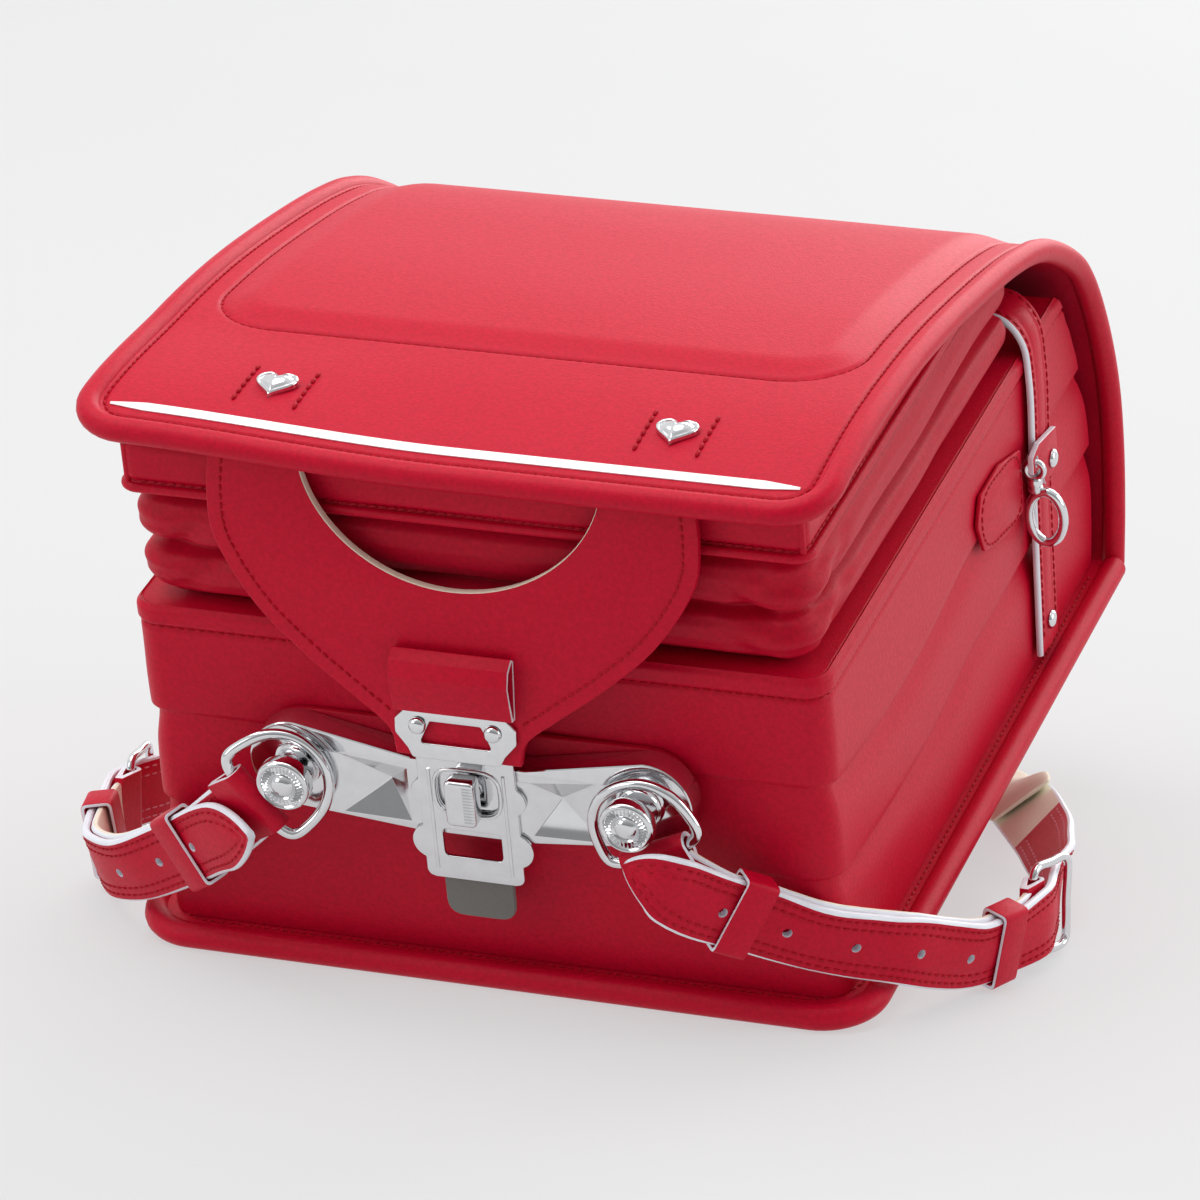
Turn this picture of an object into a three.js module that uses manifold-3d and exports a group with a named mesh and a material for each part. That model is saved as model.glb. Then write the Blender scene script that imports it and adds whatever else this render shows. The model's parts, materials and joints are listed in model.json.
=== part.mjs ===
// A red school ransel lying on its back panel, its far end propped up by its own shoulder straps.
// Inside the bag group, X is the width, Y runs from the bottom face with the lock to the far bend,
// and Z rises from the back panel to the flap. The straps are laid out in the upright frame.
import * as THREE from 'three';
import { mergeVertices } from 'three/addons/utils/BufferGeometryUtils.js';
import Module from 'manifold-3d';

const wasm = await Module();
wasm.setup();

// Driving sizes of the bag, in millimetres
const TILT = THREE.MathUtils.degToRad(15);
const PANEL_WIDTH = 264;
const PANEL_LIP = 12;
const PANEL_SHEET = 5;
const PANEL_CORNER = 22;
const ROPE_RADIUS = 4.5;
const BAG_LENGTH = 300;
const GAP = 0.3;

// Main compartment
const BODY_WIDTH = 240;
const BODY_DEPTH = 128.5;
const BODY_WALL = 2.6;
const BODY_CORNER = 14;
const CREASE_DEPTH = 1.8;
const CREASE_SAG = 6;
const RIM_DEPTH = 2.4;

// Gusset and pocket
const BELLOWS_DEPTH = 42;
const BELLOWS_WALL = 2;
const PLEAT = 13;
const POCKET_WIDTH = 236;
const POCKET_DEPTH = 18;
const POCKET_WALL = 2;
const POCKET_CORNER = 6;
const PIPING = 1.4;
const FLAP_OVER = 10.9;
const BAG_DEPTH = BODY_DEPTH + BELLOWS_DEPTH + POCKET_DEPTH + 2 * GAP + FLAP_OVER;

// Flap
const FLAP_WIDTH = 260;
const FLAP_SHEET = 3;
const FLAP_ROPE = 4.2;
const FLAP_CORNER = 20;
const PAD_RAISE = 2.2;
const PAD_MARGIN = 18;
const PAD_START = 73;
const STRIPE_MARGIN = 13;
const STRIPE_WIDTH = 4;
const STRIPE_THICK = 0.6;
const STRIPE_INSET = 11;
const HEART_SPREAD = 137;
const HEART_INSET = 32;
const HEART_SIZE = 15;
const HEART_THICK = 1.2;

// Lock on the bottom face
const LOCK_RISE = 80;
const PATCH_THICK = 2.5;
const BASE_THICK = 9.9;
const BASE_HEIGHT = 28;
const WING_FLARE = 2.1;
const WING_ROUND = 16;
const FACET_DEPTH = 5;
const POST_SPREAD = 119;
const POST_RISE = 3;
const SHAFT_RADIUS = 6.3;
const SHAFT_LENGTH = 9.7;
const CAP_RADIUS = 9.3;
const CAP_LENGTH = 6;
const HASP_THICK = 1.5;
const HASP_WIDTH = 34;
const HASP_LENGTH = 54;
const HASP_DROP = 34;
const SLOT_WIDTH = 21;
const SLOT_HEIGHT = 15.4;
const KNOB_WIDTH = 10.5;
const KNOB_HEIGHT = 17;
const KNOB_DEPTH = 6.8;
const KNOB_SHAFT = 4;
const TONGUE_WIDTH = 24;
const TONGUE_LENGTH = 31;
const TONGUE_THICK = 2;

// Tab from the flap to the lock
const TAB_THICK = 3.5;
const TAB_LEAN = 0.147;
const TAB_HEIGHT = 99.8;
const TAB_WIDTH = 168;
const TAB_NECK = 43;
const HOLE_WIDTH = 103;
const HOLE_HEIGHT = 41;
const TAB_FOOT = 15;
const PLATE_WIDTH = 42;
const PLATE_HEIGHT = 16.5;
const PLATE_THICK = 1.5;
const RIVET_RADIUS = 3;
const FOLD_WIDTH = 41;
const FOLD_HEIGHT = 22;
const FOLD_DEPTH = 7;
const FOLD_WALL = 1.5;

// Rings, straps and buckles
const RING_WIRE = 1.9;
const RING_WIDTH = 35;
const RING_REACH = 26;
const STRAP_WIDTH = 24.4;
const STRAP_THICK = 3;
const FOLD_SHELL = 1.5;
const TIP_LENGTH = 20;
const HOLE_RADIUS = 1.7;
const HOLE_SPACING = 25;
const FIRST_HOLE = 38;
const BUCKLE_WIRE = 1.5;
const BUCKLE_LENGTH = 20;
const BUCKLE_MARGIN = 1.8;
const RING_KEEPER = 47;
const BUCKLE_KEEPER = 26;
const TOGETHER_FROM = 33;
const TOGETHER_TO = 13;
const KEEPER_LENGTH = 12;
const KEEPER_WALL = 1.4;
const PAD_WIDTH = 27;
const PAD_THICK = 5;
const PAD_FROM = 0.6;
const PAD_TO = 0.9;
const ANCHOR_WIDTH = 96;
const ANCHOR_LENGTH = 28;
const ANCHOR_THICK = 4;
const ANCHOR_ALONG = 250;

// Strap and hook on the right side
const SIDE_STRAP_ALONG = 229;
const SIDE_STRAP_WIDTH = 20;
const SIDE_STRAP_THICK = 2.5;
const SIDE_STRAP_OVER = 11;
const SIDE_STRAP_TURN = 27;
const SIDE_RIVET = 3.4;
const SIDE_RIVET_RISE = 21;
const HOOK_EYE = 3.3;
const HOOK_EYE_WIRE = 1.1;
const HOOK_WIDTH = 14;
const HOOK_LENGTH = 20;
const HOOK_WIRE = 1.8;
const HOOK_TAB_THICK = 2;
const HOOK_RISE = 92;
const HOOK_CLEAR = 7;
const PATCH_LENGTH = 51;
const PATCH_HEIGHT = 31;
const PATCH_SHEET = 1.4;

const leather = new THREE.MeshStandardMaterial({ color: 0xc2142f, roughness: 0.55, metalness: 0 });
const darkLeather = new THREE.MeshStandardMaterial({ color: 0x8e0f24, roughness: 0.6, metalness: 0 });
const lining = new THREE.MeshStandardMaterial({ color: 0xe8dfc8, roughness: 0.8, metalness: 0 });
const felt = new THREE.MeshStandardMaterial({ color: 0x6e6a66, roughness: 0.9, metalness: 0 });
const chrome = new THREE.MeshStandardMaterial({ color: 0xdadbdd, roughness: 0.15, metalness: 1 });
const reflector = new THREE.MeshStandardMaterial({ color: 0xf2f2f4, roughness: 0.35, metalness: 0 });

const vec = (x, y, z) => new THREE.Vector3(x, y, z);

// Triangles of a flat polygon, facing along its own normal
function capTriangles(ring) {
  const normal = vec(0, 0, 0);
  ring.forEach((p, i) => normal.add(vec(0, 0, 0).crossVectors(p, ring[(i + 1) % ring.length])));
  normal.normalize();
  const u = (Math.abs(normal.x) < 0.9 ? vec(1, 0, 0) : vec(0, 1, 0)).cross(normal).normalize();
  const v = normal.clone().cross(u);
  const flat = ring.map((p) => new THREE.Vector2(p.dot(u), p.dot(v)));
  return THREE.ShapeUtils.triangulateShape(flat, []).map(([a, b, c]) => {
    const turn = flat[b].clone().sub(flat[a]).cross(flat[c].clone().sub(flat[a]));
    return turn > 0 ? [a, b, c] : [a, c, b];
  });
}

// A closed body through rings of points, each ring a closed polygon with the same count
function loft(rings) {
  const count = rings[0].length;
  const last = (rings.length - 1) * count;
  const faces = [];
  for (let start = 0; start < last; start += count) {
    for (let i = 0; i < count; i++) {
      const a = start + i;
      const b = start + ((i + 1) % count);
      faces.push(a, b, b + count, a, b + count, a + count);
    }
  }
  capTriangles(rings[0]).forEach(([a, b, c]) => faces.push(a, c, b));
  capTriangles(rings.at(-1)).forEach(([a, b, c]) => faces.push(last + a, last + b, last + c));
  const points = rings.flat();
  const volume = faces.reduce((sum, _, i) => (i % 3 ? sum
    : sum + points[faces[i]].dot(points[faces[i + 1]].clone().cross(points[faces[i + 2]]))), 0);
  if (volume < 0) faces.reverse();
  const geometry = new THREE.BufferGeometry().setFromPoints(points);
  geometry.setIndex(faces);
  return geometry;
}

// A mesh with shared corners, as a solid that can be joined and cut
function solid(geometry) {
  const bare = geometry.clone();
  bare.deleteAttribute('normal');
  bare.deleteAttribute('uv');
  const merged = mergeVertices(bare, 1e-4);
  return new wasm.Manifold(new wasm.Mesh({
    numProp: 3,
    vertProperties: new Float32Array(merged.attributes.position.array),
    triVerts: new Uint32Array(merged.index.array),
  }));
}

function surface(body) {
  const mesh = body.getMesh();
  const geometry = new THREE.BufferGeometry();
  geometry.setAttribute('position', new THREE.BufferAttribute(new Float32Array(mesh.vertProperties), 3));
  geometry.setIndex(new THREE.BufferAttribute(new Uint32Array(mesh.triVerts), 1));
  return geometry;
}

const join = (...parts) => surface(parts.map(solid).reduce((a, b) => a.add(b)));
const cut = (base, ...tools) => surface(tools.map(solid).reduce((a, b) => a.subtract(b), solid(base)));

function rectangle(width, height, radius = 0, sides = 4) {
  const shape = new THREE.Shape();
  const x = width / 2 - radius;
  const y = height / 2 - radius;
  [[x, y, 0], [-x, y, 1], [-x, -y, 2], [x, -y, 3]].forEach(([cx, cy, turn]) => {
    for (let i = 0; i <= (radius ? sides : 0); i++) {
      const angle = (turn + (radius ? i / sides : 0)) * (Math.PI / 2);
      const px = cx + radius * Math.cos(angle);
      const py = cy + radius * Math.sin(angle);
      if (turn || i) shape.lineTo(px, py);
      else shape.moveTo(px, py);
    }
  });
  return shape;
}

function circle(radius, sides = 10) {
  const shape = new THREE.Shape();
  for (let i = 0; i < sides; i++) {
    const angle = (i / sides) * 2 * Math.PI;
    shape[i ? 'lineTo' : 'moveTo'](radius * Math.cos(angle), radius * Math.sin(angle));
  }
  return shape;
}

// The same outline moved to another height
function shifted(shape, rise) {
  const moved = new THREE.Shape();
  shape.extractPoints(6).shape.forEach((p, i) => moved[i ? 'lineTo' : 'moveTo'](p.x, p.y + rise));
  return moved;
}

// A plate standing on the bottom face: the shape's x and y become X and Z, its thickness runs outward
function facePlate(shape, thick, start, bevel = 0) {
  const geometry = new THREE.ExtrudeGeometry(shape, {
    depth: thick - 2 * bevel, bevelEnabled: bevel > 0, bevelThickness: bevel, bevelSize: bevel,
    bevelOffset: -bevel, bevelSegments: 1, curveSegments: 6,
  });
  return geometry.translate(0, 0, bevel).rotateX(Math.PI / 2).translate(0, -start, 0);
}

// A round rod along a list of points
function rod(points, radius, steps, sides = 8) {
  const path = new THREE.CatmullRomCurve3(points, false, 'centripetal');
  return new THREE.ExtrudeGeometry(circle(radius, sides), { steps, extrudePath: path });
}

// A closed loop of wire through a list of points
function wireLoop(points, radius, steps, sides = 8) {
  const path = new THREE.CatmullRomCurve3(points, true, 'centripetal');
  return new THREE.TubeGeometry(path, steps, radius, sides, true);
}

// A cylinder between two points
function pin(from, to, radius, sides = 12) {
  const axis = to.clone().sub(from);
  const geometry = new THREE.CylinderGeometry(radius, radius, axis.length(), sides);
  geometry.applyQuaternion(new THREE.Quaternion().setFromUnitVectors(vec(0, 1, 0), axis.normalize()));
  const middle = from.clone().add(to).multiplyScalar(0.5);
  return geometry.translate(middle.x, middle.y, middle.z);
}

const root = new THREE.Group();
const bag = new THREE.Group();
bag.rotation.x = TILT;
const lipCentre = vec(0, ROPE_RADIUS, ROPE_RADIUS).applyAxisAngle(vec(1, 0, 0), TILT);
bag.position.set(0, PANEL_LIP * Math.cos(TILT), PANEL_LIP * Math.sin(TILT) + ROPE_RADIUS - lipCentre.z);
root.add(bag);
bag.updateMatrixWorld(true);

function add(group, name, geometry, material) {
  const mesh = new THREE.Mesh(geometry, material);
  mesh.name = name;
  group.add(mesh);
  return mesh;
}

// Middle line of the flap from the front edge to the joint with the back panel
const FLAP_LINE = [
  { along: -0.033, rise: 0.976 }, { along: 0.033, rise: 0.9925 }, { along: 0.133, rise: 1.002 },
  { along: 0.24, rise: 0.996 }, { along: 0.367, rise: 0.975 }, { along: 0.51, rise: 0.935 },
  { along: 0.657, rise: 0.8825 }, { along: 0.75, rise: 0.835 }, { along: 0.833, rise: 0.765 },
  { along: 0.91, rise: 0.67 }, { along: 0.967, rise: 0.525 }, { along: 1.0, rise: 0.375 },
  { along: 1.007, rise: 0.25 }, { along: 1.0, rise: 0.125 }, { along: 0.986, rise: 0.018 },
];
const flapLine = new THREE.CatmullRomCurve3(
  FLAP_LINE.map(({ along, rise }) => vec(0, along * BAG_LENGTH, rise * BAG_DEPTH)), false, 'centripetal');
const flapLength = flapLine.getLength();
const flapEnd = flapLine.getPoint(1);

// Point and outward normal of the flap at a distance from its front edge
function flapAt(distance) {
  const share = Math.min(Math.max(distance / flapLength, 0), 1);
  const point = flapLine.getPointAt(share);
  const tangent = flapLine.getTangentAt(share);
  return { point, tangent, normal: vec(0, -tangent.z, tangent.y).normalize() };
}

// How far along the bag the inside of the flap lies at a given rise
function flapReach(rise) {
  for (let share = 1; share > 0; share -= 0.005) {
    const point = flapLine.getPointAt(share);
    if (point.z >= rise) return point.y;
  }
  return flapLine.getPointAt(0).y;
}

// Back panel: a flat sheet with a rolled rope edge on three sides
function backPanel() {
  const end = flapEnd.y - FLAP_ROPE - 3 * GAP;
  const inner = PANEL_WIDTH / 2 - ROPE_RADIUS;
  const near = ROPE_RADIUS - PANEL_LIP;
  const bend = PANEL_CORNER - ROPE_RADIUS;
  const edge = [vec(inner, end, ROPE_RADIUS), vec(inner, end * 0.6, ROPE_RADIUS), vec(inner, near + 2 * bend, ROPE_RADIUS)];
  const turns = 5;
  for (let i = 0; i <= turns; i++) {
    const angle = (i / turns) * (Math.PI / 2);
    edge.push(vec(inner - bend + bend * Math.cos(angle), near + bend - bend * Math.sin(angle), ROPE_RADIUS));
  }
  const mirrored = edge.slice().reverse().map((p) => vec(-p.x, p.y, p.z));
  const path = [...edge, vec(0, near, ROPE_RADIUS), ...mirrored];
  const outline = new THREE.Shape(path.map((p) => new THREE.Vector2(p.x, p.y)));
  const sheet = new THREE.ExtrudeGeometry(outline, { depth: PANEL_SHEET, bevelEnabled: false });
  sheet.translate(0, 0, ROPE_RADIUS - PANEL_SHEET / 2);
  return join(sheet, rod(path, ROPE_RADIUS, 56));
}
add(bag, 'back_panel', backPanel(), leather);
const panelTop = ROPE_RADIUS + PANEL_SHEET / 2;
const panelUnder = ROPE_RADIUS - PANEL_SHEET / 2;

// The open U of a wall seen along Z: far left, round the two near corners, far right
const SIDE_STEPS = [1, 0.72, 0.5, 0.3, 0.12];
function wallLine(half, near, corner, reach) {
  const left = SIDE_STEPS.map((share) => new THREE.Vector2(-half, near + corner + share * (reach - near - corner)));
  const arc = [];
  const turns = 4;
  for (let i = 0; i <= turns; i++) {
    const angle = (i / turns) * (Math.PI / 2);
    arc.push(new THREE.Vector2(-half + corner - corner * Math.cos(angle), near + corner - corner * Math.sin(angle)));
  }
  const start = [...left, ...arc];
  return [...start, ...start.slice().reverse().map((p) => new THREE.Vector2(-p.x, p.y))];
}

// One ring of a U wall; inset moves it inward all round, lift gives each point its height
function wallRing({ half, near, corner, reach, wall, inset, lift }) {
  const outer = wallLine(half - inset, near + inset, Math.max(corner - inset, 1), reach);
  const inner = wallLine(half - inset - wall, near + inset + wall, Math.max(corner - inset - wall, 0.5), reach);
  return [...outer, ...inner.reverse()].map((p) => vec(p.x, p.y, lift(p.y)));
}

// Main compartment: rise as a share of its depth, press as a share of the crease depth
const BODY_LEVELS = [
  { rise: 0, press: 0, sag: 0 }, { rise: 0.31, press: 0, sag: 1 }, { rise: 0.37, press: 1, sag: 1 },
  { rise: 0.42, press: 0, sag: 1 }, { rise: 0.6, press: 0, sag: 1 }, { rise: 0.655, press: 1, sag: 1 },
  { rise: 0.71, press: 0, sag: 1 }, { rise: 0.9, press: 0, sag: 0 }, { rise: 0.92, press: 0.5, sag: 0 },
  { rise: 0.94, press: -0.3, sag: 0 }, { rise: 0.985, press: -0.3, sag: 0 }, { rise: 1, press: 0.3, sag: 0 },
];
const bodyStart = panelTop + GAP;
function mainBody() {
  const span = BODY_DEPTH - bodyStart;
  const rings = BODY_LEVELS.map(({ rise, press, sag }) => {
    const level = bodyStart + rise * (span - 0.3);
    const reach = flapReach(level + ROPE_RADIUS) - 2 * FLAP_ROPE;
    const dip = (along) => Math.sin(Math.PI * THREE.MathUtils.clamp((2 * along) / BAG_LENGTH, 0, 1));
    return wallRing({
      half: BODY_WIDTH / 2, near: 0, corner: BODY_CORNER, reach, wall: BODY_WALL,
      inset: press * CREASE_DEPTH, lift: (along) => level - sag * CREASE_SAG * dip(along),
    });
  });
  const reach = flapReach(BODY_DEPTH + ROPE_RADIUS) - 2 * FLAP_ROPE;
  const front = wallLine(BODY_WIDTH / 2 - 1, 1, BODY_CORNER - 1, reach - 1);
  const sheet = new THREE.ExtrudeGeometry(new THREE.Shape(front), { depth: RIM_DEPTH, bevelEnabled: false });
  sheet.translate(0, 0, BODY_DEPTH - RIM_DEPTH);
  return join(loft(rings), sheet);
}
add(bag, 'main_body', mainBody(), leather);

// Gusset: inset as a share of the pleat
const BELLOWS_LEVELS = [
  { rise: 0, inset: 0.95 }, { rise: 0.06, inset: 0.6 }, { rise: 0.2, inset: 0.15 }, { rise: 0.34, inset: 0.04 },
  { rise: 0.46, inset: 0.12 }, { rise: 0.5, inset: 0.5 }, { rise: 0.55, inset: 0.12 }, { rise: 0.72, inset: 0 },
  { rise: 0.88, inset: 0.12 }, { rise: 0.96, inset: 0.4 }, { rise: 1, inset: 0.75 },
];
const bellowsStart = BODY_DEPTH + GAP;
function bellows() {
  return loft(BELLOWS_LEVELS.map(({ rise, inset }) => {
    const level = bellowsStart + rise * BELLOWS_DEPTH;
    return wallRing({
      half: POCKET_WIDTH / 2, near: 0, corner: BODY_CORNER, wall: BELLOWS_WALL, inset: inset * PLEAT,
      reach: Math.min(SIDE_STRAP_ALONG - SIDE_STRAP_WIDTH / 2 - 3, flapReach(level + 2 * ROPE_RADIUS)),
      lift: () => level,
    });
  }));
}
add(bag, 'bellows', bellows(), leather);

// Front pocket: an open tray with a bulge of piping along its lower edge and its two near corners
const POCKET_LEVELS = [
  { rise: 0, inset: 0 }, { rise: 0.07, inset: -1 }, { rise: 0.16, inset: -0.6 }, { rise: 0.22, inset: 0.5 },
  { rise: 1, inset: 0.5 },
];
const pocketStart = bellowsStart + BELLOWS_DEPTH + GAP;
function pocket() {
  const far = flapReach(pocketStart + POCKET_DEPTH + 2 * ROPE_RADIUS);
  const wall = loft(POCKET_LEVELS.map(({ rise, inset }) => wallRing({
    half: POCKET_WIDTH / 2, near: 0, corner: POCKET_CORNER, wall: POCKET_WALL, inset: inset * PIPING,
    reach: far, lift: () => pocketStart + 0.15 + rise * (POCKET_DEPTH - 0.3),
  })));
  const lids = [0, POCKET_DEPTH - POCKET_WALL].map((rise) => {
    const line = wallLine(POCKET_WIDTH / 2 - PIPING, PIPING, POCKET_CORNER - PIPING, far - 1);
    const lid = new THREE.ExtrudeGeometry(new THREE.Shape(line), { depth: POCKET_WALL, bevelEnabled: false });
    return lid.translate(0, 0, pocketStart + rise);
  });
  const place = POCKET_CORNER * (1 - Math.SQRT1_2) + PIPING * 0.6;
  const cords = [-1, 1].map((side) => pin(
    vec(side * (POCKET_WIDTH / 2 - place), place, pocketStart + 0.2),
    vec(side * (POCKET_WIDTH / 2 - place), place, pocketStart + POCKET_DEPTH - 0.2), PIPING + 0.6, 8));
  return join(wall, ...lids, ...cords);
}
add(bag, 'pocket', pocket(), leather);

// Flap: a bent sheet with a raised middle and a rolled rope on its front and side edges
function flap() {
  const half = FLAP_WIDTH / 2 - FLAP_ROPE;
  const bend = FLAP_CORNER - FLAP_ROPE;
  const padHalf = FLAP_WIDTH / 2 - PAD_MARGIN;
  const reachAt = (distance) => (distance >= bend ? half
    : half - bend + Math.sqrt(bend ** 2 - (bend - distance) ** 2));
  const distances = [0, 2, 6, bend, HEART_INSET, PAD_START - 20, PAD_START - 2, PAD_START + 2];
  const rest = 22;
  for (let i = 1; i <= rest; i++) {
    distances.push(PAD_START + 2 + (i / rest) * (flapLength - PAD_START - 2));
  }
  const rings = distances.map((distance) => {
    const { point, normal } = flapAt(distance);
    const raise = distance > PAD_START ? PAD_RAISE : 0;
    const width = reachAt(distance);
    const pad = Math.min(padHalf, width - 4);
    const top = [[-width, 0], [-pad - 2, 0], [-pad + 2, raise], [0, raise], [pad - 2, raise], [pad + 2, 0], [width, 0]];
    const place = (x, out) => point.clone().addScaledVector(normal, out).setX(x);
    return [
      ...top.map(([x, lift]) => place(x, FLAP_SHEET / 2 + lift)),
      ...top.slice().reverse().map(([x]) => place(x, -FLAP_SHEET / 2)),
    ];
  });
  const side = [];
  const sideSteps = 16;
  for (let i = sideSteps; i >= 1; i--) {
    side.push(flapAt(bend + (i / sideSteps) * (flapLength - bend)).point.setX(half));
  }
  const turns = 4;
  for (let i = 0; i <= turns; i++) {
    const angle = (i / turns) * (Math.PI / 2);
    side.push(flapAt(bend - bend * Math.sin(angle)).point.setX(half - bend + bend * Math.cos(angle)));
  }
  const path = [...side, ...side.slice().reverse().map((p) => vec(-p.x, p.y, p.z))];
  return join(loft(rings), rod(path, FLAP_ROPE, 76));
}
add(bag, 'flap', flap(), leather);

// Lays a flat piece on the flap's upper face
function onFlap(geometry, distance, across = 0) {
  const { point, tangent, normal } = flapAt(distance);
  const turn = new THREE.Matrix4().makeBasis(vec(1, 0, 0), tangent, normal);
  const lift = FLAP_SHEET / 2 + GAP + 0.15;
  turn.setPosition(point.clone().addScaledVector(normal, lift).setX(across));
  return geometry.applyMatrix4(turn);
}

function stripe() {
  const half = FLAP_WIDTH / 2 - STRIPE_MARGIN;
  const taper = 5 * STRIPE_WIDTH;
  const shape = new THREE.Shape([
    [-half, 0], [-half + taper, -STRIPE_WIDTH / 2], [half - taper, -STRIPE_WIDTH / 2],
    [half, 0], [half - taper, STRIPE_WIDTH / 2], [-half + taper, STRIPE_WIDTH / 2],
  ].map(([x, y]) => new THREE.Vector2(x, y)));
  return onFlap(new THREE.ExtrudeGeometry(shape, { depth: STRIPE_THICK, bevelEnabled: false }), STRIPE_INSET);
}
add(bag, 'reflective_stripe', stripe(), reflector);

function heart(side) {
  const s = HEART_SIZE / 2;
  const shape = new THREE.Shape();
  shape.moveTo(0, -0.9 * s);
  shape.bezierCurveTo(0.5 * s, -0.45 * s, s, -0.1 * s, s, 0.3 * s);
  shape.bezierCurveTo(s, 0.85 * s, 0.3 * s, 0.95 * s, 0, 0.5 * s);
  shape.bezierCurveTo(-0.3 * s, 0.95 * s, -s, 0.85 * s, -s, 0.3 * s);
  shape.bezierCurveTo(-s, -0.1 * s, -0.5 * s, -0.45 * s, 0, -0.9 * s);
  const geometry = new THREE.ExtrudeGeometry(shape, {
    depth: HEART_THICK, bevelEnabled: true, bevelThickness: HEART_THICK, bevelSize: 0.25 * s,
    bevelOffset: -0.25 * s, bevelSegments: 2, curveSegments: 4,
  });
  geometry.translate(0, 0, HEART_THICK);
  return onFlap(geometry, HEART_INSET, (side * HEART_SPREAD) / 2);
}
add(bag, 'heart_rivet_left', heart(-1), chrome);
add(bag, 'heart_rivet_right', heart(1), chrome);

// Lock base: a gull-wing bar with rounded ends, each wing hollowed by a facet
const baseStart = PATCH_THICK + 2 * GAP;
const baseFront = baseStart + BASE_THICK;
const postRise = LOCK_RISE + POST_RISE;
function baseOutline(grow = 0) {
  const shape = new THREE.Shape();
  const post = POST_SPREAD / 2 + 1.5;
  const round = WING_ROUND + grow;
  const inner = BASE_HEIGHT / 2 + grow;
  const low = LOCK_RISE - 4;
  shape.moveTo(-20, low + inner);
  shape.lineTo(20, low + inner);
  const turns = 9;
  for (let side = 1; side >= -1; side -= 2) {
    for (let i = 0; i <= turns; i++) {
      const angle = side * (Math.PI / 2) - (i / turns) * Math.PI * 1.02;
      shape.lineTo(side * post + round * Math.cos(angle), postRise - WING_FLARE / 2 + round * Math.sin(angle));
    }
    if (side === 1) {
      shape.lineTo(20, low - inner);
      shape.lineTo(-20, low - inner);
    }
  }
  return shape;
}
function facet(side) {
  const near = 24;
  const far = POST_SPREAD / 2 - SHAFT_RADIUS - 5;
  const corners = [[near, -9.5], [far, -8.5], [far, 12], [near, 9]];
  const outer = corners.map(([x, z]) => vec(side * x, -baseFront - 1, LOCK_RISE - 4 + z));
  const deep = corners.map(([x, z], i) => vec(
    side * (x + (i % 3 ? -2 : 10)), -baseFront + FACET_DEPTH, LOCK_RISE - 4 + z * 0.15));
  return loft([outer, deep]);
}
const patchOutline = shifted(rectangle(POST_SPREAD + 2 * WING_ROUND - 4, BASE_HEIGHT + 9, 15), LOCK_RISE - 1);
add(bag, 'lock_patch', facePlate(patchOutline, PATCH_THICK, GAP), darkLeather);
add(bag, 'lock_base', cut(facePlate(baseOutline(), BASE_THICK, baseStart, 1), facet(-1), facet(1)), chrome);

// Ring posts: a shaft with a cove at its foot and a ribbed cap
function ringPost(side) {
  const profile = [
    [0, 0], [CAP_RADIUS - 1, 0], [SHAFT_RADIUS + 0.6, 1.2], [SHAFT_RADIUS, 3], [SHAFT_RADIUS, SHAFT_LENGTH],
    [CAP_RADIUS, SHAFT_LENGTH + 0.6], [CAP_RADIUS, SHAFT_LENGTH + CAP_LENGTH - 1.4],
    [CAP_RADIUS - 1.4, SHAFT_LENGTH + CAP_LENGTH], [4.4, SHAFT_LENGTH + CAP_LENGTH - 0.6],
    [3.4, SHAFT_LENGTH + CAP_LENGTH + 0.4], [0, SHAFT_LENGTH + CAP_LENGTH + 1.2],
  ].map(([r, y]) => new THREE.Vector2(r, y));
  const geometry = new THREE.LatheGeometry(profile, 16);
  geometry.rotateX(Math.PI);
  return geometry.translate((side * POST_SPREAD) / 2, -baseFront - GAP, postRise);
}
add(bag, 'ring_post_left', ringPost(-1), chrome);
add(bag, 'ring_post_right', ringPost(1), chrome);

// Hasp plate with scalloped edges, an oval slot for the knob and a window below it
const haspStart = baseFront + GAP;
function hasp() {
  const half = HASP_WIDTH / 2;
  const low = LOCK_RISE - HASP_DROP;
  const scallops = [{ rise: 0.25, size: 0.12 }, { rise: 0.6, size: 0.1 }];
  const top = low + HASP_LENGTH;
  let plate = facePlate(shifted(rectangle(HASP_WIDTH, HASP_LENGTH, 3), (low + top) / 2), HASP_THICK, haspStart);
  const bumps = scallops.flatMap(({ rise, size }) => [-1, 1].map((side) => {
    const bump = facePlate(circle(size * HASP_LENGTH, 12), HASP_THICK, haspStart);
    return bump.translate(side * (half - 2.4), 0, low + rise * HASP_LENGTH);
  }));
  plate = join(plate, ...bumps);
  const ribs = [-1, 1].map((side) => facePlate(rectangle(1, 0.72 * HASP_LENGTH, 0), 0.6, haspStart + HASP_THICK - 0.1)
    .translate(side * (half - 4), 0, low + 0.42 * HASP_LENGTH));
  plate = join(plate, ...ribs);
  const slot = facePlate(shifted(rectangle(SLOT_WIDTH, SLOT_HEIGHT, 6), LOCK_RISE), 4, haspStart - 1);
  const window = facePlate(shifted(rectangle(20.5, 10.5, 2), LOCK_RISE - 20), 4, haspStart - 1);
  return cut(plate, slot, window);
}
add(bag, 'hasp', hasp(), chrome);

// Turn knob: a rounded block on a shaft that passes the slot
function knob() {
  const start = haspStart + HASP_THICK + 0.6 + GAP;
  const head = facePlate(shifted(rectangle(KNOB_WIDTH, KNOB_HEIGHT, 2), LOCK_RISE), KNOB_DEPTH, start, 0.8);
  const shaft = pin(vec(0, -haspStart, LOCK_RISE), vec(0, -start - 2, LOCK_RISE), KNOB_SHAFT);
  return join(head, shaft);
}
add(bag, 'lock_knob', knob(), chrome);

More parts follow.
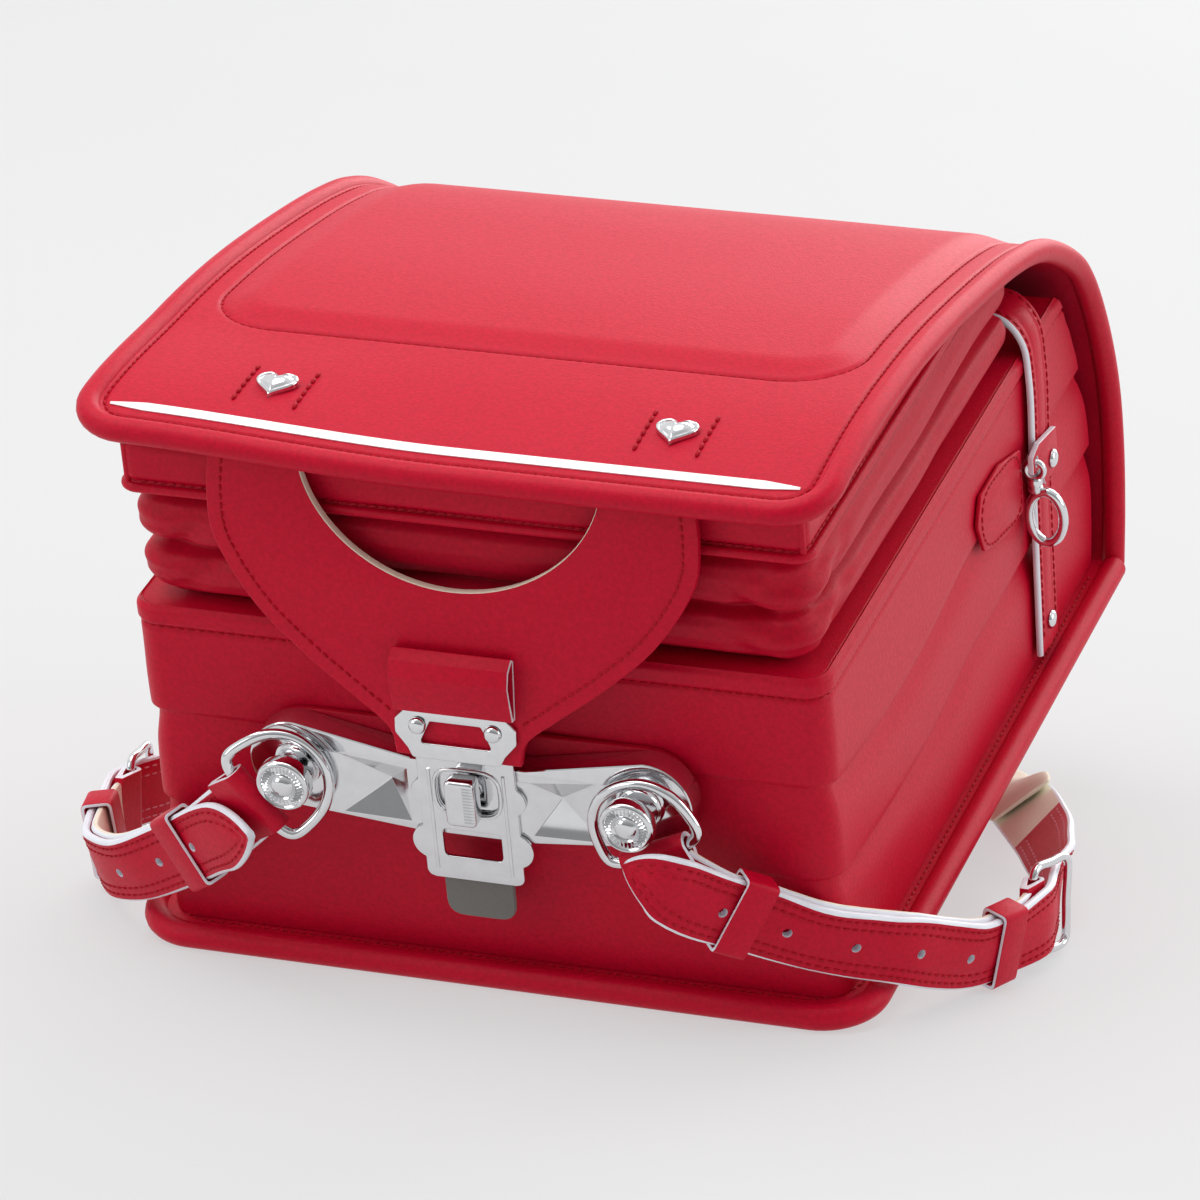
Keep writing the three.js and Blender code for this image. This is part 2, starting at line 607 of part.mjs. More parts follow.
function tongue() {
  const top = LOCK_RISE - 4 - BASE_HEIGHT / 2 - GAP;
  const shape = shifted(rectangle(TONGUE_WIDTH, TONGUE_LENGTH, 6), top - TONGUE_LENGTH / 2);
  return facePlate(shape, TONGUE_THICK, haspStart - GAP - TONGUE_THICK);
}
add(bag, 'felt_tongue', tongue(), felt);

// What leans with the tab: built upright from its foot, then leaned back and moved to its place
const tabStart = haspStart + HASP_THICK + 0.6 + GAP;
const tabFootRise = LOCK_RISE + TAB_FOOT;
function lean(geometry) {
  return geometry.rotateX(-TAB_LEAN).translate(0, -tabStart - 0.1, tabFootRise);
}

// Half widths of the tab as shares of the half width between neck and top
const TAB_SIDES = [
  { rise: 0, half: 0 }, { rise: 0.08, half: 0.03 }, { rise: 0.17, half: 0.2 }, { rise: 0.3, half: 0.47 },
  { rise: 0.45, half: 0.73 }, { rise: 0.6, half: 0.9 }, { rise: 0.72, half: 0.985 }, { rise: 0.85, half: 1 },
  { rise: 1, half: 0.98 },
];
function frontTab() {
  const neck = TAB_NECK / 2;
  const grow = TAB_WIDTH / 2 - neck;
  const right = new THREE.SplineCurve(TAB_SIDES.map(({ rise, half }) => (
    new THREE.Vector2(neck + half * grow, rise * TAB_HEIGHT)))).getPoints(18);
  const outline = new THREE.Shape([...right, ...right.slice().reverse().map((p) => new THREE.Vector2(-p.x, p.y))]);
  const inner = new THREE.Shape();
  const steps = 14;
  for (let i = 0; i <= steps; i++) {
    const angle = Math.PI + (i / steps) * Math.PI;
    const x = (HOLE_WIDTH / 2) * Math.cos(angle);
    const y = TAB_HEIGHT + 1 + (HOLE_HEIGHT + 1) * Math.sin(angle) * Math.abs(Math.sin(angle)) ** 0.1;
    inner[i ? 'lineTo' : 'moveTo'](x, y);
  }
  return lean(cut(facePlate(outline, TAB_THICK, 0), facePlate(inner, TAB_THICK + 4, -2)));
}
add(bag, 'front_tab', frontTab(), leather);

// Metal plate on the tab's foot, with a window and two rivets
const PLATE_CORNERS = [[-0.72, 0], [0.72, 0], [1, 0.62], [1, 0.86], [0.86, 1], [-0.86, 1], [-1, 0.86], [-1, 0.62]];
function lockPlate() {
  const corners = PLATE_CORNERS.map(([x, y]) => new THREE.Vector2((x * PLATE_WIDTH) / 2, y * PLATE_HEIGHT));
  const window = [[-0.3, 0.33], [0.3, 0.33], [0.21, 0.8], [-0.21, 0.8]].map(([x, y]) => (
    new THREE.Vector2(x * PLATE_WIDTH, y * PLATE_HEIGHT)));
  const start = TAB_THICK + GAP;
  return lean(cut(facePlate(new THREE.Shape(corners), PLATE_THICK, start, 0.4),
    facePlate(new THREE.Shape(window), PLATE_THICK + 2, start - 1)));
}
add(bag, 'lock_plate', lockPlate(), chrome);
function dome(radius, height) {
  const profile = [[0, 0], [radius, 0], [0.8 * radius, 0.62 * height], [0.4 * radius, 0.93 * height], [0, height]];
  return new THREE.LatheGeometry(profile.map(([r, y]) => new THREE.Vector2(r, y)), 12);
}
[['plate_rivet_left', -1], ['plate_rivet_right', 1]].forEach(([name, side]) => {
  const rivet = dome(RIVET_RADIUS, 2).rotateX(Math.PI);
  const front = TAB_THICK + PLATE_THICK + 2 * GAP;
  add(bag, name, lean(rivet.translate(side * 0.31 * PLATE_WIDTH, -front, 0.7 * PLATE_HEIGHT)), chrome);
});

// Folded leather above the plate: a flat loop open at both ends, widest in its upper half
const FOLD_OUTLINE = [
  { rise: 0, depth: 0.45 }, { rise: 0.3, depth: 0.75 }, { rise: 0.6, depth: 1 }, { rise: 0.85, depth: 0.85 },
  { rise: 1, depth: 0.35 },
];
function tabFold() {
  const back = [[0, 0.3], [0.93, 0.3]];
  const points = (shrink) => [
    ...back.map(([rise]) => [shrink, shrink + rise * (FOLD_HEIGHT - 2 * shrink)]),
    ...FOLD_OUTLINE.slice().reverse().map(({ rise, depth }) => (
      [depth * FOLD_DEPTH - shrink, shrink + rise * (FOLD_HEIGHT - 2 * shrink)])),
  ].map(([x, y]) => new THREE.Vector2(Math.max(x, shrink), y));
  const shape = new THREE.Shape(points(0));
  shape.holes.push(new THREE.Path(points(FOLD_WALL * 0.8).reverse()));
  const geometry = new THREE.ExtrudeGeometry(shape, { depth: FOLD_WIDTH, bevelEnabled: false });
  const turn = new THREE.Matrix4().makeBasis(vec(0, -1, 0), vec(0, 0, 1), vec(-1, 0, 0));
  geometry.applyMatrix4(turn).translate(FOLD_WIDTH / 2, -TAB_THICK - GAP, PLATE_HEIGHT + GAP);
  return lean(geometry);
}
add(bag, 'tab_fold', tabFold(), leather);

// D-rings: a straight bar held in the strap's fold, and a bow round the post
const RING_POSES = {
  right: { side: 1, hang: vec(0.427, 0, -0.904), bar: vec(0.904, 0, 0.427), drop: 15.1 },
  left: { side: -1, hang: vec(-0.74, -0.32, -0.57), bar: vec(-0.594, 0, 0.805), drop: 15.6 },
};
const ringAlong = -baseFront - GAP - 0.62 * SHAFT_LENGTH;
const RING_OUTLINE = [
  { across: -0.39, reach: 0 }, { across: 0, reach: 0 }, { across: 0.39, reach: 0 }, { across: 0.49, reach: 0.09 },
  { across: 0.5, reach: 0.35 },
  { across: 0.43, reach: 0.68 }, { across: 0.25, reach: 0.92 }, { across: 0, reach: 1 }, { across: -0.25, reach: 0.92 },
  { across: -0.43, reach: 0.68 }, { across: -0.5, reach: 0.35 }, { across: -0.49, reach: 0.09 },
];
function ringPlace(pose) {
  const centre = vec((pose.side * POST_SPREAD) / 2, ringAlong, postRise);
  const hang = pose.hang.clone().normalize();
  const bar = pose.bar.clone().addScaledVector(hang, -pose.bar.dot(hang)).normalize();
  return { hang, bar, middle: centre.addScaledVector(hang, pose.drop) };
}
function dRing(pose) {
  const { hang, bar, middle } = ringPlace(pose);
  return wireLoop(RING_OUTLINE.map(({ across, reach }) => middle.clone()
    .addScaledVector(bar, across * RING_WIDTH).addScaledVector(hang, -reach * RING_REACH)), RING_WIRE, 33, 7);
}
Object.entries(RING_POSES).forEach(([name, pose]) => add(bag, `d_ring_${name}`, dRing(pose), chrome));

// Straps in the upright frame. Each row places the strap's middle between the ring's bar and the buckle,
// as shares of the way along each axis, with the direction of its width.
const LOOPS = {
  right: {
    side: 1,
    leave: vec(3.5, 0.5, -6),
    buckle: { out: 1.205, along: 0.3, rise: 18.5, heading: vec(0.3, 0.954, 0) },
    pointed: [
      { x: -0.06, y: -0.13, z: 0, width: [8, -1, 21] }, { x: 0.075, y: -0.125, z: 0.12, width: [8, -2, 22] },
      { x: 0.175, y: -0.05, z: 0.29, width: [8, 3, 22] }, { x: 0.325, y: 0.08, z: 0.48, width: [10, 2, 20] },
      { x: 0.51, y: 0.185, z: 0.66, width: [9, -3, 22] }, { x: 0.68, y: 0.315, z: 0.79, width: [5, -3.4, 23] },
      { x: 0.775, y: 0.4, z: 0.86, width: [2, -4, 23] }, { x: 0.85, y: 0.52, z: 0.97, width: [2, -5, 23] },
      { x: 0.925, y: 0.65, z: 1.06, width: [4, -6, 23] }, { x: 0.99, y: 0.78, z: 1.06, width: [4, -4, 24] },
    ],
  },
  left: {
    side: -1,
    leave: vec(-3.5, 1.5, -3),
    buckle: { out: 1.235, along: 0.25, rise: 23, heading: vec(-0.1, 0.995, 0) },
    pointed: [
      { x: -0.02, y: -0.08, z: 0.22, width: [-11, 2, 22] }, { x: 0.17, y: 0.03, z: 0.36, width: [-12, 1, 22] },
      { x: 0.41, y: 0.2, z: 0.68, width: [-14, -1, 20] }, { x: 0.665, y: 0.33, z: 0.97, width: [-10.7, -5.5, 21.5] },
      { x: 0.845, y: 0.46, z: 1.07, width: [-9, -3, 23] }, { x: 0.965, y: 0.66, z: 1.1, width: [-5, -4, 24] },
      { x: 1.02, y: 0.84, z: 1.06, width: [-2, -1, 24] },
    ],
  },
};

// Beyond the buckle: under the panel to the anchor, as shares of the panel's half width and the bag's length
const UNDER_PANEL = [
  { out: 1.17, along: 0.445, rise: 20, width: [0.45, 0, 0.88] },
  { out: 1.07, along: 0.55, rise: 20, width: [0.7, 0, 0.7] },
  { out: 0.93, along: 0.665, rise: 19, width: [0.85, 0, 0.52] },
  { out: 0.84, along: 0.76, rise: 11, width: [0.93, 0.05, 0.25] },
  { out: 0.77, along: 0.83, rise: 4.4, width: [0.9, 0.3, 0.04] },
  { out: 0.7, along: 0.875, rise: 1, width: [0.8, 0.6, 0] },
  { out: 0.58, along: 0.9, rise: 1, width: [0.3, 0.95, 0] },
  { out: 0.46, along: 0.9, rise: 1, width: [0, 1, 0] },
  { out: 0.36, along: 0.895, rise: 10, width: [0, 1, 0.05] },
];

function toUpright(point) {
  return point.clone().applyMatrix4(bag.matrixWorld);
}

// A strap's middle line with the direction of its width, read off at any share of its length.
// Where it would sink into the floor, it lies flat on it.
function strapLine(rows, onFloor = false) {
  const middle = new THREE.CatmullRomCurve3(rows.map((row) => row.point), false, 'centripetal');
  const spans = rows.map((row, i) => (i ? row.point.distanceTo(rows[i - 1].point) : 0));
  const marks = spans.map((_, i) => spans.slice(0, i + 1).reduce((a, b) => a + b, 0));
  const total = marks.at(-1);
  const length = middle.getLength();
  function at(share) {
    const point = middle.getPointAt(share);
    const tangent = middle.getTangentAt(share);
    if (point.z < STRAP_THICK / 2 && onFloor) {
      point.setZ(STRAP_THICK / 2);
      tangent.setZ(0).normalize();
    }
    const way = share * total;
    const next = Math.max(1, marks.findIndex((mark) => mark >= way - 1e-6));
    const part = THREE.MathUtils.smoothstep(way, marks[next - 1], marks[next]);
    const width = rows[next - 1].width.clone().normalize().lerp(rows[next].width.clone().normalize(), part);
    if (onFloor) width.z *= THREE.MathUtils.smoothstep(point.z, STRAP_THICK / 2, 2 * STRAP_THICK);
    width.addScaledVector(tangent, -width.dot(tangent)).normalize();
    return { point, tangent, width, normal: tangent.clone().cross(width) };
  }
  return { at, length, shares: marks.map((mark) => mark / total) };
}

// Cross section of a strap; a mirrored one splits its faces the other way, to lie flat on its neighbour
function bandRing({ point, width, normal }, half, thick, shift = 0, mirror = 1) {
  const side = half * mirror;
  return [[-side, -1], [side, -1], [side, 1], [-side, 1]].map(([across, out]) => point.clone()
    .addScaledVector(width, across).addScaledVector(normal, shift + (out * thick) / 2));
}

function band(line, from, to, steps, halfAt, thick, shift = 0) {
  const rings = [];
  for (let i = 0; i <= steps; i++) {
    const share = from + (i / steps) * (to - from);
    rings.push(bandRing(line.at(share), halfAt(share * line.length), thick, shift));
  }
  return loft(rings);
}

// A strap's end folded round a bar: a sleeve of leather with a bore
function foldRound(strap, middle, bar, wire) {
  const ends = [-1, 1].map((side) => middle.clone().addScaledVector(bar, (side * STRAP_WIDTH) / 2));
  const deep = [-1, 1].map((side) => middle.clone().addScaledVector(bar, side * (STRAP_WIDTH / 2 + 1)));
  const bore = wire + 2 * GAP;
  return cut(join(strap, pin(ends[0], ends[1], bore + FOLD_SHELL)), pin(deep[0], deep[1], bore));
}

// A leather loop round two straps, as wide as both need over its length
function keeper(lines, share) {
  const frame = lines[0].at(share);
  const half = KEEPER_LENGTH / 2;
  let low = new THREE.Vector2(Infinity, Infinity);
  let high = new THREE.Vector2(-Infinity, -Infinity);
  lines.forEach((line) => {
    for (let i = 0; i <= 400; i++) {
      const section = line.at(i / 400);
      bandRing(section, STRAP_WIDTH / 2, STRAP_THICK).forEach((corner) => {
        const away = corner.clone().sub(frame.point);
        if (Math.abs(away.dot(frame.tangent)) > half + 0.5 || away.length() > 2 * STRAP_WIDTH) return;
        const flat = new THREE.Vector2(away.dot(frame.width), away.dot(frame.normal));
        low = low.min(flat);
        high = high.max(flat);
      });
    }
  });
  const size = high.clone().sub(low).addScalar(2 * GAP);
  const middle = high.clone().add(low).multiplyScalar(0.5);
  const shape = rectangle(size.x + 2 * KEEPER_WALL, size.y + 2 * KEEPER_WALL, 1.6, 2);
  shape.holes.push(new THREE.Path(rectangle(size.x, size.y, 0).extractPoints(2).shape.slice().reverse()));
  const geometry = new THREE.ExtrudeGeometry(shape, { depth: KEEPER_LENGTH, bevelEnabled: false });
  geometry.translate(middle.x, middle.y, -half);
  const turn = new THREE.Matrix4().makeBasis(frame.width, frame.normal, frame.tangent).setPosition(frame.point);
  return geometry.applyMatrix4(turn);
}

function strapSet(name) {
  const loop = LOOPS[name];
  const ring = ringPlace(RING_POSES[name]);
  const start = toUpright(ring.middle);
  const startBar = ring.bar.clone().transformDirection(bag.matrixWorld);
  const heading = loop.buckle.heading.clone().normalize();
  const up = vec(0, 0, 1);
  const outward = heading.clone().cross(up).multiplyScalar(loop.side);
  const nearBar = vec((loop.side * loop.buckle.out * PANEL_WIDTH) / 2, loop.buckle.along * BAG_LENGTH, loop.buckle.rise);
  const place = ({ x, y, z, width }) => ({
    point: vec(
      THREE.MathUtils.lerp(start.x, nearBar.x, x), THREE.MathUtils.lerp(start.y, nearBar.y, y),
      THREE.MathUtils.lerp(start.z, nearBar.z, z)),
    width: vec(...width),
  });
  const beyond = (along, out, rise = 0) => ({
    point: nearBar.clone().addScaledVector(heading, along).addScaledVector(outward, out).setZ(nearBar.z + rise),
    width: up.clone(),
  });
  const clearNear = BUCKLE_WIRE + FOLD_SHELL + STRAP_THICK / 2 + 6 * GAP;
  const clearFar = BUCKLE_WIRE + STRAP_THICK / 2 + 5 * GAP;

  const anchorPoint = toUpright(vec((loop.side * ANCHOR_WIDTH) / 3, ANCHOR_ALONG, panelUnder - ANCHOR_THICK - 2 * GAP));
  const anchorUp = vec(0, 0, 1).transformDirection(bag.matrixWorld);
  const pointed = strapLine([
    ...loop.pointed.map(place),
    beyond(-1, clearNear, -1), beyond(BUCKLE_LENGTH * 0.55, 0.5), beyond(BUCKLE_LENGTH, -clearFar),
    ...UNDER_PANEL.map(({ out, along, rise, width }) => ({
      point: vec((loop.side * out * PANEL_WIDTH) / 2, along * BAG_LENGTH, rise),
      width: vec(loop.side * width[0], width[1], width[2]),
    })),
    { point: anchorPoint.clone().addScaledVector(anchorUp, -24), width: vec(0, 1, 0).transformDirection(bag.matrixWorld) },
    { point: anchorPoint, width: vec(0, 1, 0).transformDirection(bag.matrixWorld) },
  ], true);
  const tipShare = TIP_LENGTH / pointed.length;
  const shares = [0, 0.15, 0.35, 0.6, 0.8].map((part) => part * tipShare);
  const steps = 56;
  for (let i = 0; i <= steps; i++) shares.push(tipShare + (i / steps) * (1 - tipShare));
  const barShare = pointed.shares[loop.pointed.length];

  // The lower strap lies against the inner face of the pointed one
  const together = shares.filter((share) => share * pointed.length > TOGETHER_FROM
    && (barShare - share) * pointed.length > TOGETHER_TO);
  const lower = strapLine([
    { point: start, width: startBar.clone() },
    { point: start.clone().addScaledVector(loop.leave, 1), width: startBar.clone() },
    ...together.map((share) => {
      const { point, normal, width } = pointed.at(share);
      return { point: point.addScaledVector(normal, -loop.side * (STRAP_THICK + 1.5 * GAP)), width };
    }),
    { point: nearBar.clone(), width: up.clone() },
  ]);
  const flat = STRAP_WIDTH / 2;
  const tipped = (way) => (way >= TIP_LENGTH ? flat
    : flat * (0.12 + 0.88 * Math.sin((Math.PI / 2) * (way / TIP_LENGTH)) ** 0.75));
  const lowerShares = lower.shares.flatMap((share, i) => {
    const span = share - lower.shares[i - 1];
    return i === 2 || i === lower.shares.length - 1
      ? [0.25, 0.5, 0.75, 1].map((part) => share - (1 - part) * span) : [share];
  });
  const lowerBand = loft(lowerShares.map((share) => bandRing(lower.at(share), flat, STRAP_THICK, 0, -1)));
  const held = foldRound(lowerBand, start, startBar, RING_WIRE);
  add(root, `lower_strap_${name}`, foldRound(held, nearBar, up, BUCKLE_WIRE), leather);

  const strap = loft(shares.map((share) => bandRing(pointed.at(share), tipped(share * pointed.length), STRAP_THICK)));
  const holes = [0, 1, 2, 3, 4].map((i) => {
    const { point, normal } = pointed.at((FIRST_HOLE + i * HOLE_SPACING) / pointed.length);
    return pin(point.clone().addScaledVector(normal, -4), point.clone().addScaledVector(normal, 4), HOLE_RADIUS, 6);
  });
  add(root, `shoulder_strap_${name}`, cut(strap, ...holes), leather);

  const padShift = -loop.side * ((STRAP_THICK + PAD_THICK) / 2 + 1.5 * GAP);
  const pad = loft(shares.filter((share) => share > PAD_FROM && share < PAD_TO).map((share) => (
    bandRing(pointed.at(share), PAD_WIDTH / 2, PAD_THICK, padShift, -1))));
  add(root, `shoulder_pad_${name}`, pad, lining);
  return { lower, pointed, nearBar, heading, up, barShare };
}

// Buckle: a rounded frame whose near bar sits in the lower strap's fold
function buckle({ nearBar, heading, up }) {
  const high = STRAP_WIDTH / 2 + BUCKLE_MARGIN + BUCKLE_WIRE;
  const corners = [
    [0, -0.88], [0, 0], [0, 0.88], [0.1, 1], [0.5, 1], [0.9, 1],
    [1, 0.88], [1, 0], [1, -0.88], [0.9, -1], [0.5, -1], [0.1, -1],
  ];
  return wireLoop(corners.map(([along, rise]) => nearBar.clone()
    .addScaledVector(heading, along * BUCKLE_LENGTH).addScaledVector(up, rise * high)), BUCKLE_WIRE, 30, 6);
}

['left', 'right'].forEach((name) => {
  const set = strapSet(name);
  add(root, `buckle_${name}`, buckle(set), chrome);
  const lines = [set.pointed, set.lower];
  add(root, `keeper_${name}`, keeper(lines, RING_KEEPER / set.pointed.length), leather);
  add(root, `buckle_keeper_${name}`, keeper(lines, set.barShare - BUCKLE_KEEPER / set.pointed.length), leather);
});

// Plain plate under the back panel that the shoulder straps start from
const anchor = new THREE.BoxGeometry(ANCHOR_WIDTH, ANCHOR_LENGTH, ANCHOR_THICK);
anchor.translate(0, ANCHOR_ALONG, panelUnder - GAP - ANCHOR_THICK / 2);
add(bag, 'strap_anchor', anchor, darkLeather);

// Strap up the right side, turning in over the rim under the flap
const sideFace = BODY_WIDTH / 2 + 0.6 * CREASE_DEPTH;
const sideOut = sideFace + SIDE_STRAP_THICK / 2 + 0.2;
const SIDE_ROWS = [
  { in: 0, rise: 0.03 }, { in: 0, rise: 0.3 }, { in: 0, rise: 0.6 }, { in: 0, rise: 0.85 }, { in: 0.08, rise: 0.96 },
  { in: 0.34, rise: 1.02 }, { in: 1, rise: 1.03 },
];
const sideStrapRows = SIDE_ROWS.map((row) => ({
  point: vec(sideOut - row.in * SIDE_STRAP_TURN, SIDE_STRAP_ALONG + 2 * SIDE_STRAP_THICK * (row.rise - 1),
    bodyStart + row.rise * (BODY_DEPTH + SIDE_STRAP_OVER - bodyStart)),
  width: vec(0, 1, 0),
}));
add(bag, 'side_strap', band(strapLine(sideStrapRows), 0, 1, 22, () => SIDE_STRAP_WIDTH / 2, SIDE_STRAP_THICK), leather);
const strapFace = sideOut + SIDE_STRAP_THICK / 2 + 1.4 * GAP;
add(bag, 'side_strap_rivet', dome(SIDE_RIVET, 1.8).rotateZ(-Math.PI / 2)
  .translate(strapFace, SIDE_STRAP_ALONG - 4, SIDE_RIVET_RISE), chrome);

// Short leather tab on the strap; the hook's eye passes through its hole
const hookAlong = SIDE_STRAP_ALONG - SIDE_STRAP_WIDTH / 2 - HOOK_CLEAR;
function hookTab() {
  const shape = new THREE.Shape([
    [hookAlong - 4, HOOK_RISE + 3], [hookAlong - 4, HOOK_RISE - 2.6], [hookAlong - 2, HOOK_RISE - 4.3],
    [hookAlong + 4, HOOK_RISE - 4.5], [hookAlong + 9, HOOK_RISE - 14], [hookAlong + 24, HOOK_RISE - 14],
    [hookAlong + 24, HOOK_RISE + 1], [hookAlong + 4, HOOK_RISE + 5],
  ].map(([y, z]) => new THREE.Vector2(y, z)));
  const bore = new THREE.Path(circle(HOOK_EYE_WIRE + 0.9, 8).extractPoints(1).shape.slice().reverse()
    .map((p) => new THREE.Vector2(p.x + hookAlong, p.y + HOOK_RISE)));
  shape.holes.push(bore);
  const geometry = new THREE.ExtrudeGeometry(shape, { depth: HOOK_TAB_THICK, bevelEnabled: false });
  return geometry.applyMatrix4(new THREE.Matrix4().makeBasis(vec(0, 1, 0), vec(0, 0, 1), vec(1, 0, 0)))
    .translate(strapFace, 0, 0);
}
add(bag, 'hook_tab', hookTab(), leather);
add(bag, 'hook_rivet', dome(SIDE_RIVET, 1.8).rotateZ(-Math.PI / 2)
  .translate(strapFace + HOOK_TAB_THICK + GAP, hookAlong + 17, HOOK_RISE - 8), chrome);

// Swivel hook hanging from the tab: an eye, a barrel and an oval loop
function sideHook() {
  const x = strapFace + HOOK_TAB_THICK / 2;
  const eyeRise = HOOK_RISE - HOOK_EYE;
  const eye = new THREE.TorusGeometry(HOOK_EYE, HOOK_EYE_WIRE, 6, 12);
  eye.rotateX(Math.PI / 2).translate(x, hookAlong, eyeRise);
  const barrelTop = eyeRise - HOOK_EYE - 0.2;
  const barrel = pin(vec(x, hookAlong, barrelTop + 0.6), vec(x, hookAlong, barrelTop - 5.4), 2.6, 10);
  const middle = barrelTop - 5 - HOOK_LENGTH / 2;
  const oval = [];
  for (let i = 0; i < 10; i++) {
    const angle = (i / 10) * 2 * Math.PI;
    oval.push(vec(x + 3.4 + (HOOK_WIDTH / 2 - HOOK_WIRE / 2) * Math.sin(angle), hookAlong,
      middle + (HOOK_LENGTH / 2) * Math.cos(angle)));
  }
  return join(eye, barrel, wireLoop(oval, HOOK_WIRE, 20, 6));
}
add(bag, 'side_hook', sideHook(), chrome);

// Leather patch on the side wall behind the hook
const HOOK_PATCH = [[0, 0.77], [0.47, 1], [0.9, 1], [1, 0.71], [0.88, 0.29], [0.45, 0.065], [0, 0]];
function hookPatch() {
  const end = hookAlong - PATCH_SHEET - 1.6;
  const low = HOOK_RISE - 0.58 * PATCH_HEIGHT;
  const shape = new THREE.Shape(HOOK_PATCH.map(([y, z]) => (
    new THREE.Vector2(end - y * PATCH_LENGTH, low + z * PATCH_HEIGHT))));
  const geometry = new THREE.ExtrudeGeometry(shape, { depth: PATCH_SHEET, bevelEnabled: false });
  return geometry.applyMatrix4(new THREE.Matrix4().makeBasis(vec(0, 1, 0), vec(0, 0, 1), vec(1, 0, 0)))
    .translate(BODY_WIDTH / 2 + GAP, 0, 0);
}
add(bag, 'hook_patch', hookPatch(), leather);

// The origin is the middle of the outline on the surface that the bag lies on
root.updateMatrixWorld(true);
const bounds = new THREE.Box3().setFromObject(root, true);
const middle = bounds.getCenter(vec(0, 0, 0));
root.position.set(-middle.x, -middle.y, -bounds.min.z);
root.updateMatrixWorld(true);

export default root;
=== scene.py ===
"""Looks of a red school ransel: smooth leather over a rigid box, a turn lock, rings and folded straps."""
import json
import math
from functools import lru_cache

import bpy
from bpy.props import FloatProperty, FloatVectorProperty, PointerProperty
from mathutils import Matrix, Vector, noise


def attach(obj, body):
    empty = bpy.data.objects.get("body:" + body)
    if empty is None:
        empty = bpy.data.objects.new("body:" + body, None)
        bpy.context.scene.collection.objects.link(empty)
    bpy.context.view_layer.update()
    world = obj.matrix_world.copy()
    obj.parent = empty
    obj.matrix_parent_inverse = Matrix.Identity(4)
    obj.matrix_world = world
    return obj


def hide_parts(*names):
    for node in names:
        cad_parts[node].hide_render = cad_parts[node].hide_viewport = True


bl_info = {
    "name": "School Ransel",
    "version": (1, 0, 0),
    "blender": (4, 5, 0),
    "location": "3D View > Sidebar > Ransel",
    "description": "Builds the leather, metal and stitching of a school ransel round its frame",
    "category": "Add Mesh",
}

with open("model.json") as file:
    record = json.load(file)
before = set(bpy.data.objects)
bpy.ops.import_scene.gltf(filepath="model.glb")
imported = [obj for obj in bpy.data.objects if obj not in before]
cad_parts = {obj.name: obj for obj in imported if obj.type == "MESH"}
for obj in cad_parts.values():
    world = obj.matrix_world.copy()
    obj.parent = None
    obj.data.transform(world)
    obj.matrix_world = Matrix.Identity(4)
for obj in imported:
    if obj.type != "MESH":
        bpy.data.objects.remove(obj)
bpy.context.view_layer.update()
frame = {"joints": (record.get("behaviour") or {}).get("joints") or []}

MM = 0.001
UP = Vector((0, 0, 1))

# Places of the bag inside the frame: the lock's axis is the one point that both share
TILT = math.radians(15)
TURN = Matrix.Rotation(TILT, 3, "X")
LOCK_POINT = Vector((0, -14, 80))
ORIGIN = Vector(frame["joints"][0]["pos_m"]) / MM - TURN @ LOCK_POINT
PANEL_LIP = 12
PANEL_ROPE = 4.5
DROP = PANEL_ROPE * (math.sin(TILT) + math.cos(TILT) - 1)
SHIFT = ORIGIN - Vector((0, PANEL_LIP * math.cos(TILT), PANEL_LIP * math.sin(TILT) - DROP))

# Sizes that the pieces share, in millimetres, as in the frame
BAG_LENGTH = 300
BAG_DEPTH = 200
PANEL_WIDTH = 264
PANEL_SHEET = 5
PANEL_CORNER = 22
GAP = 0.3
FLAP_WIDTH = 260
FLAP_SHEET = 3
FLAP_ROPE = 4.2
FLAP_CORNER = 20
PAD_START = 73
PAD_MARGIN = 18
BODY_WIDTH = 240
BODY_DEPTH = 128.5
BODY_START = 7.3
BODY_CORNER = 14
BODY_EDGE = 9
POCKET_WIDTH = 236
POCKET_START = 171.1
POCKET_DEPTH = 18
TIP_LENGTH = 20
FIRST_HOLE = 38
HOLE_SPACING = 25
LOCK_RISE = 80
BASE_FRONT = 13
HASP_START = 13.3
TAB_START = 15.7
TAB_LEAN = 0.147
TAB_THICK = 3.5
TAB_HEIGHT = 99.8
TAB_NECK = 43
TAB_WIDTH = 168
TAB_FOOT = 15
POST_SPREAD = 119
POST_RISE = 83
RING_WIDTH = 35
RING_REACH = 26
BUCKLE_LENGTH = 20
BUCKLE_HIGH = 15.5
BUCKLE_WIRE = 1.5
FOLD_SHELL = 1.5
ANCHOR_ALONG = 250
SIDE_STRAP_ALONG = 229

FLAP_LINE = [
    (-0.033, 0.976), (0.033, 0.9925), (0.133, 1.002), (0.24, 0.996), (0.367, 0.975),
    (0.51, 0.935), (0.657, 0.8825), (0.75, 0.835), (0.833, 0.765), (0.91, 0.67),
    (0.967, 0.525), (1.0, 0.375), (1.007, 0.25), (1.0, 0.125), (0.986, 0.018),
]


def bag(x, y, z):
    """A place in the bag's own directions, in millimetres, as a place in the frame."""
    return (ORIGIN + TURN @ Vector((x, y, z))) * MM


def upright(x, y, z):
    """A place in the straps' upright directions, in millimetres, as a place in the frame."""
    return (SHIFT + Vector((x, y, z))) * MM


def smooth(low, high, value):
    """A soft step from 0 at low to 1 at high."""
    share = min(max((value - low) / (high - low), 0), 1)
    return share * share * (3 - 2 * share)


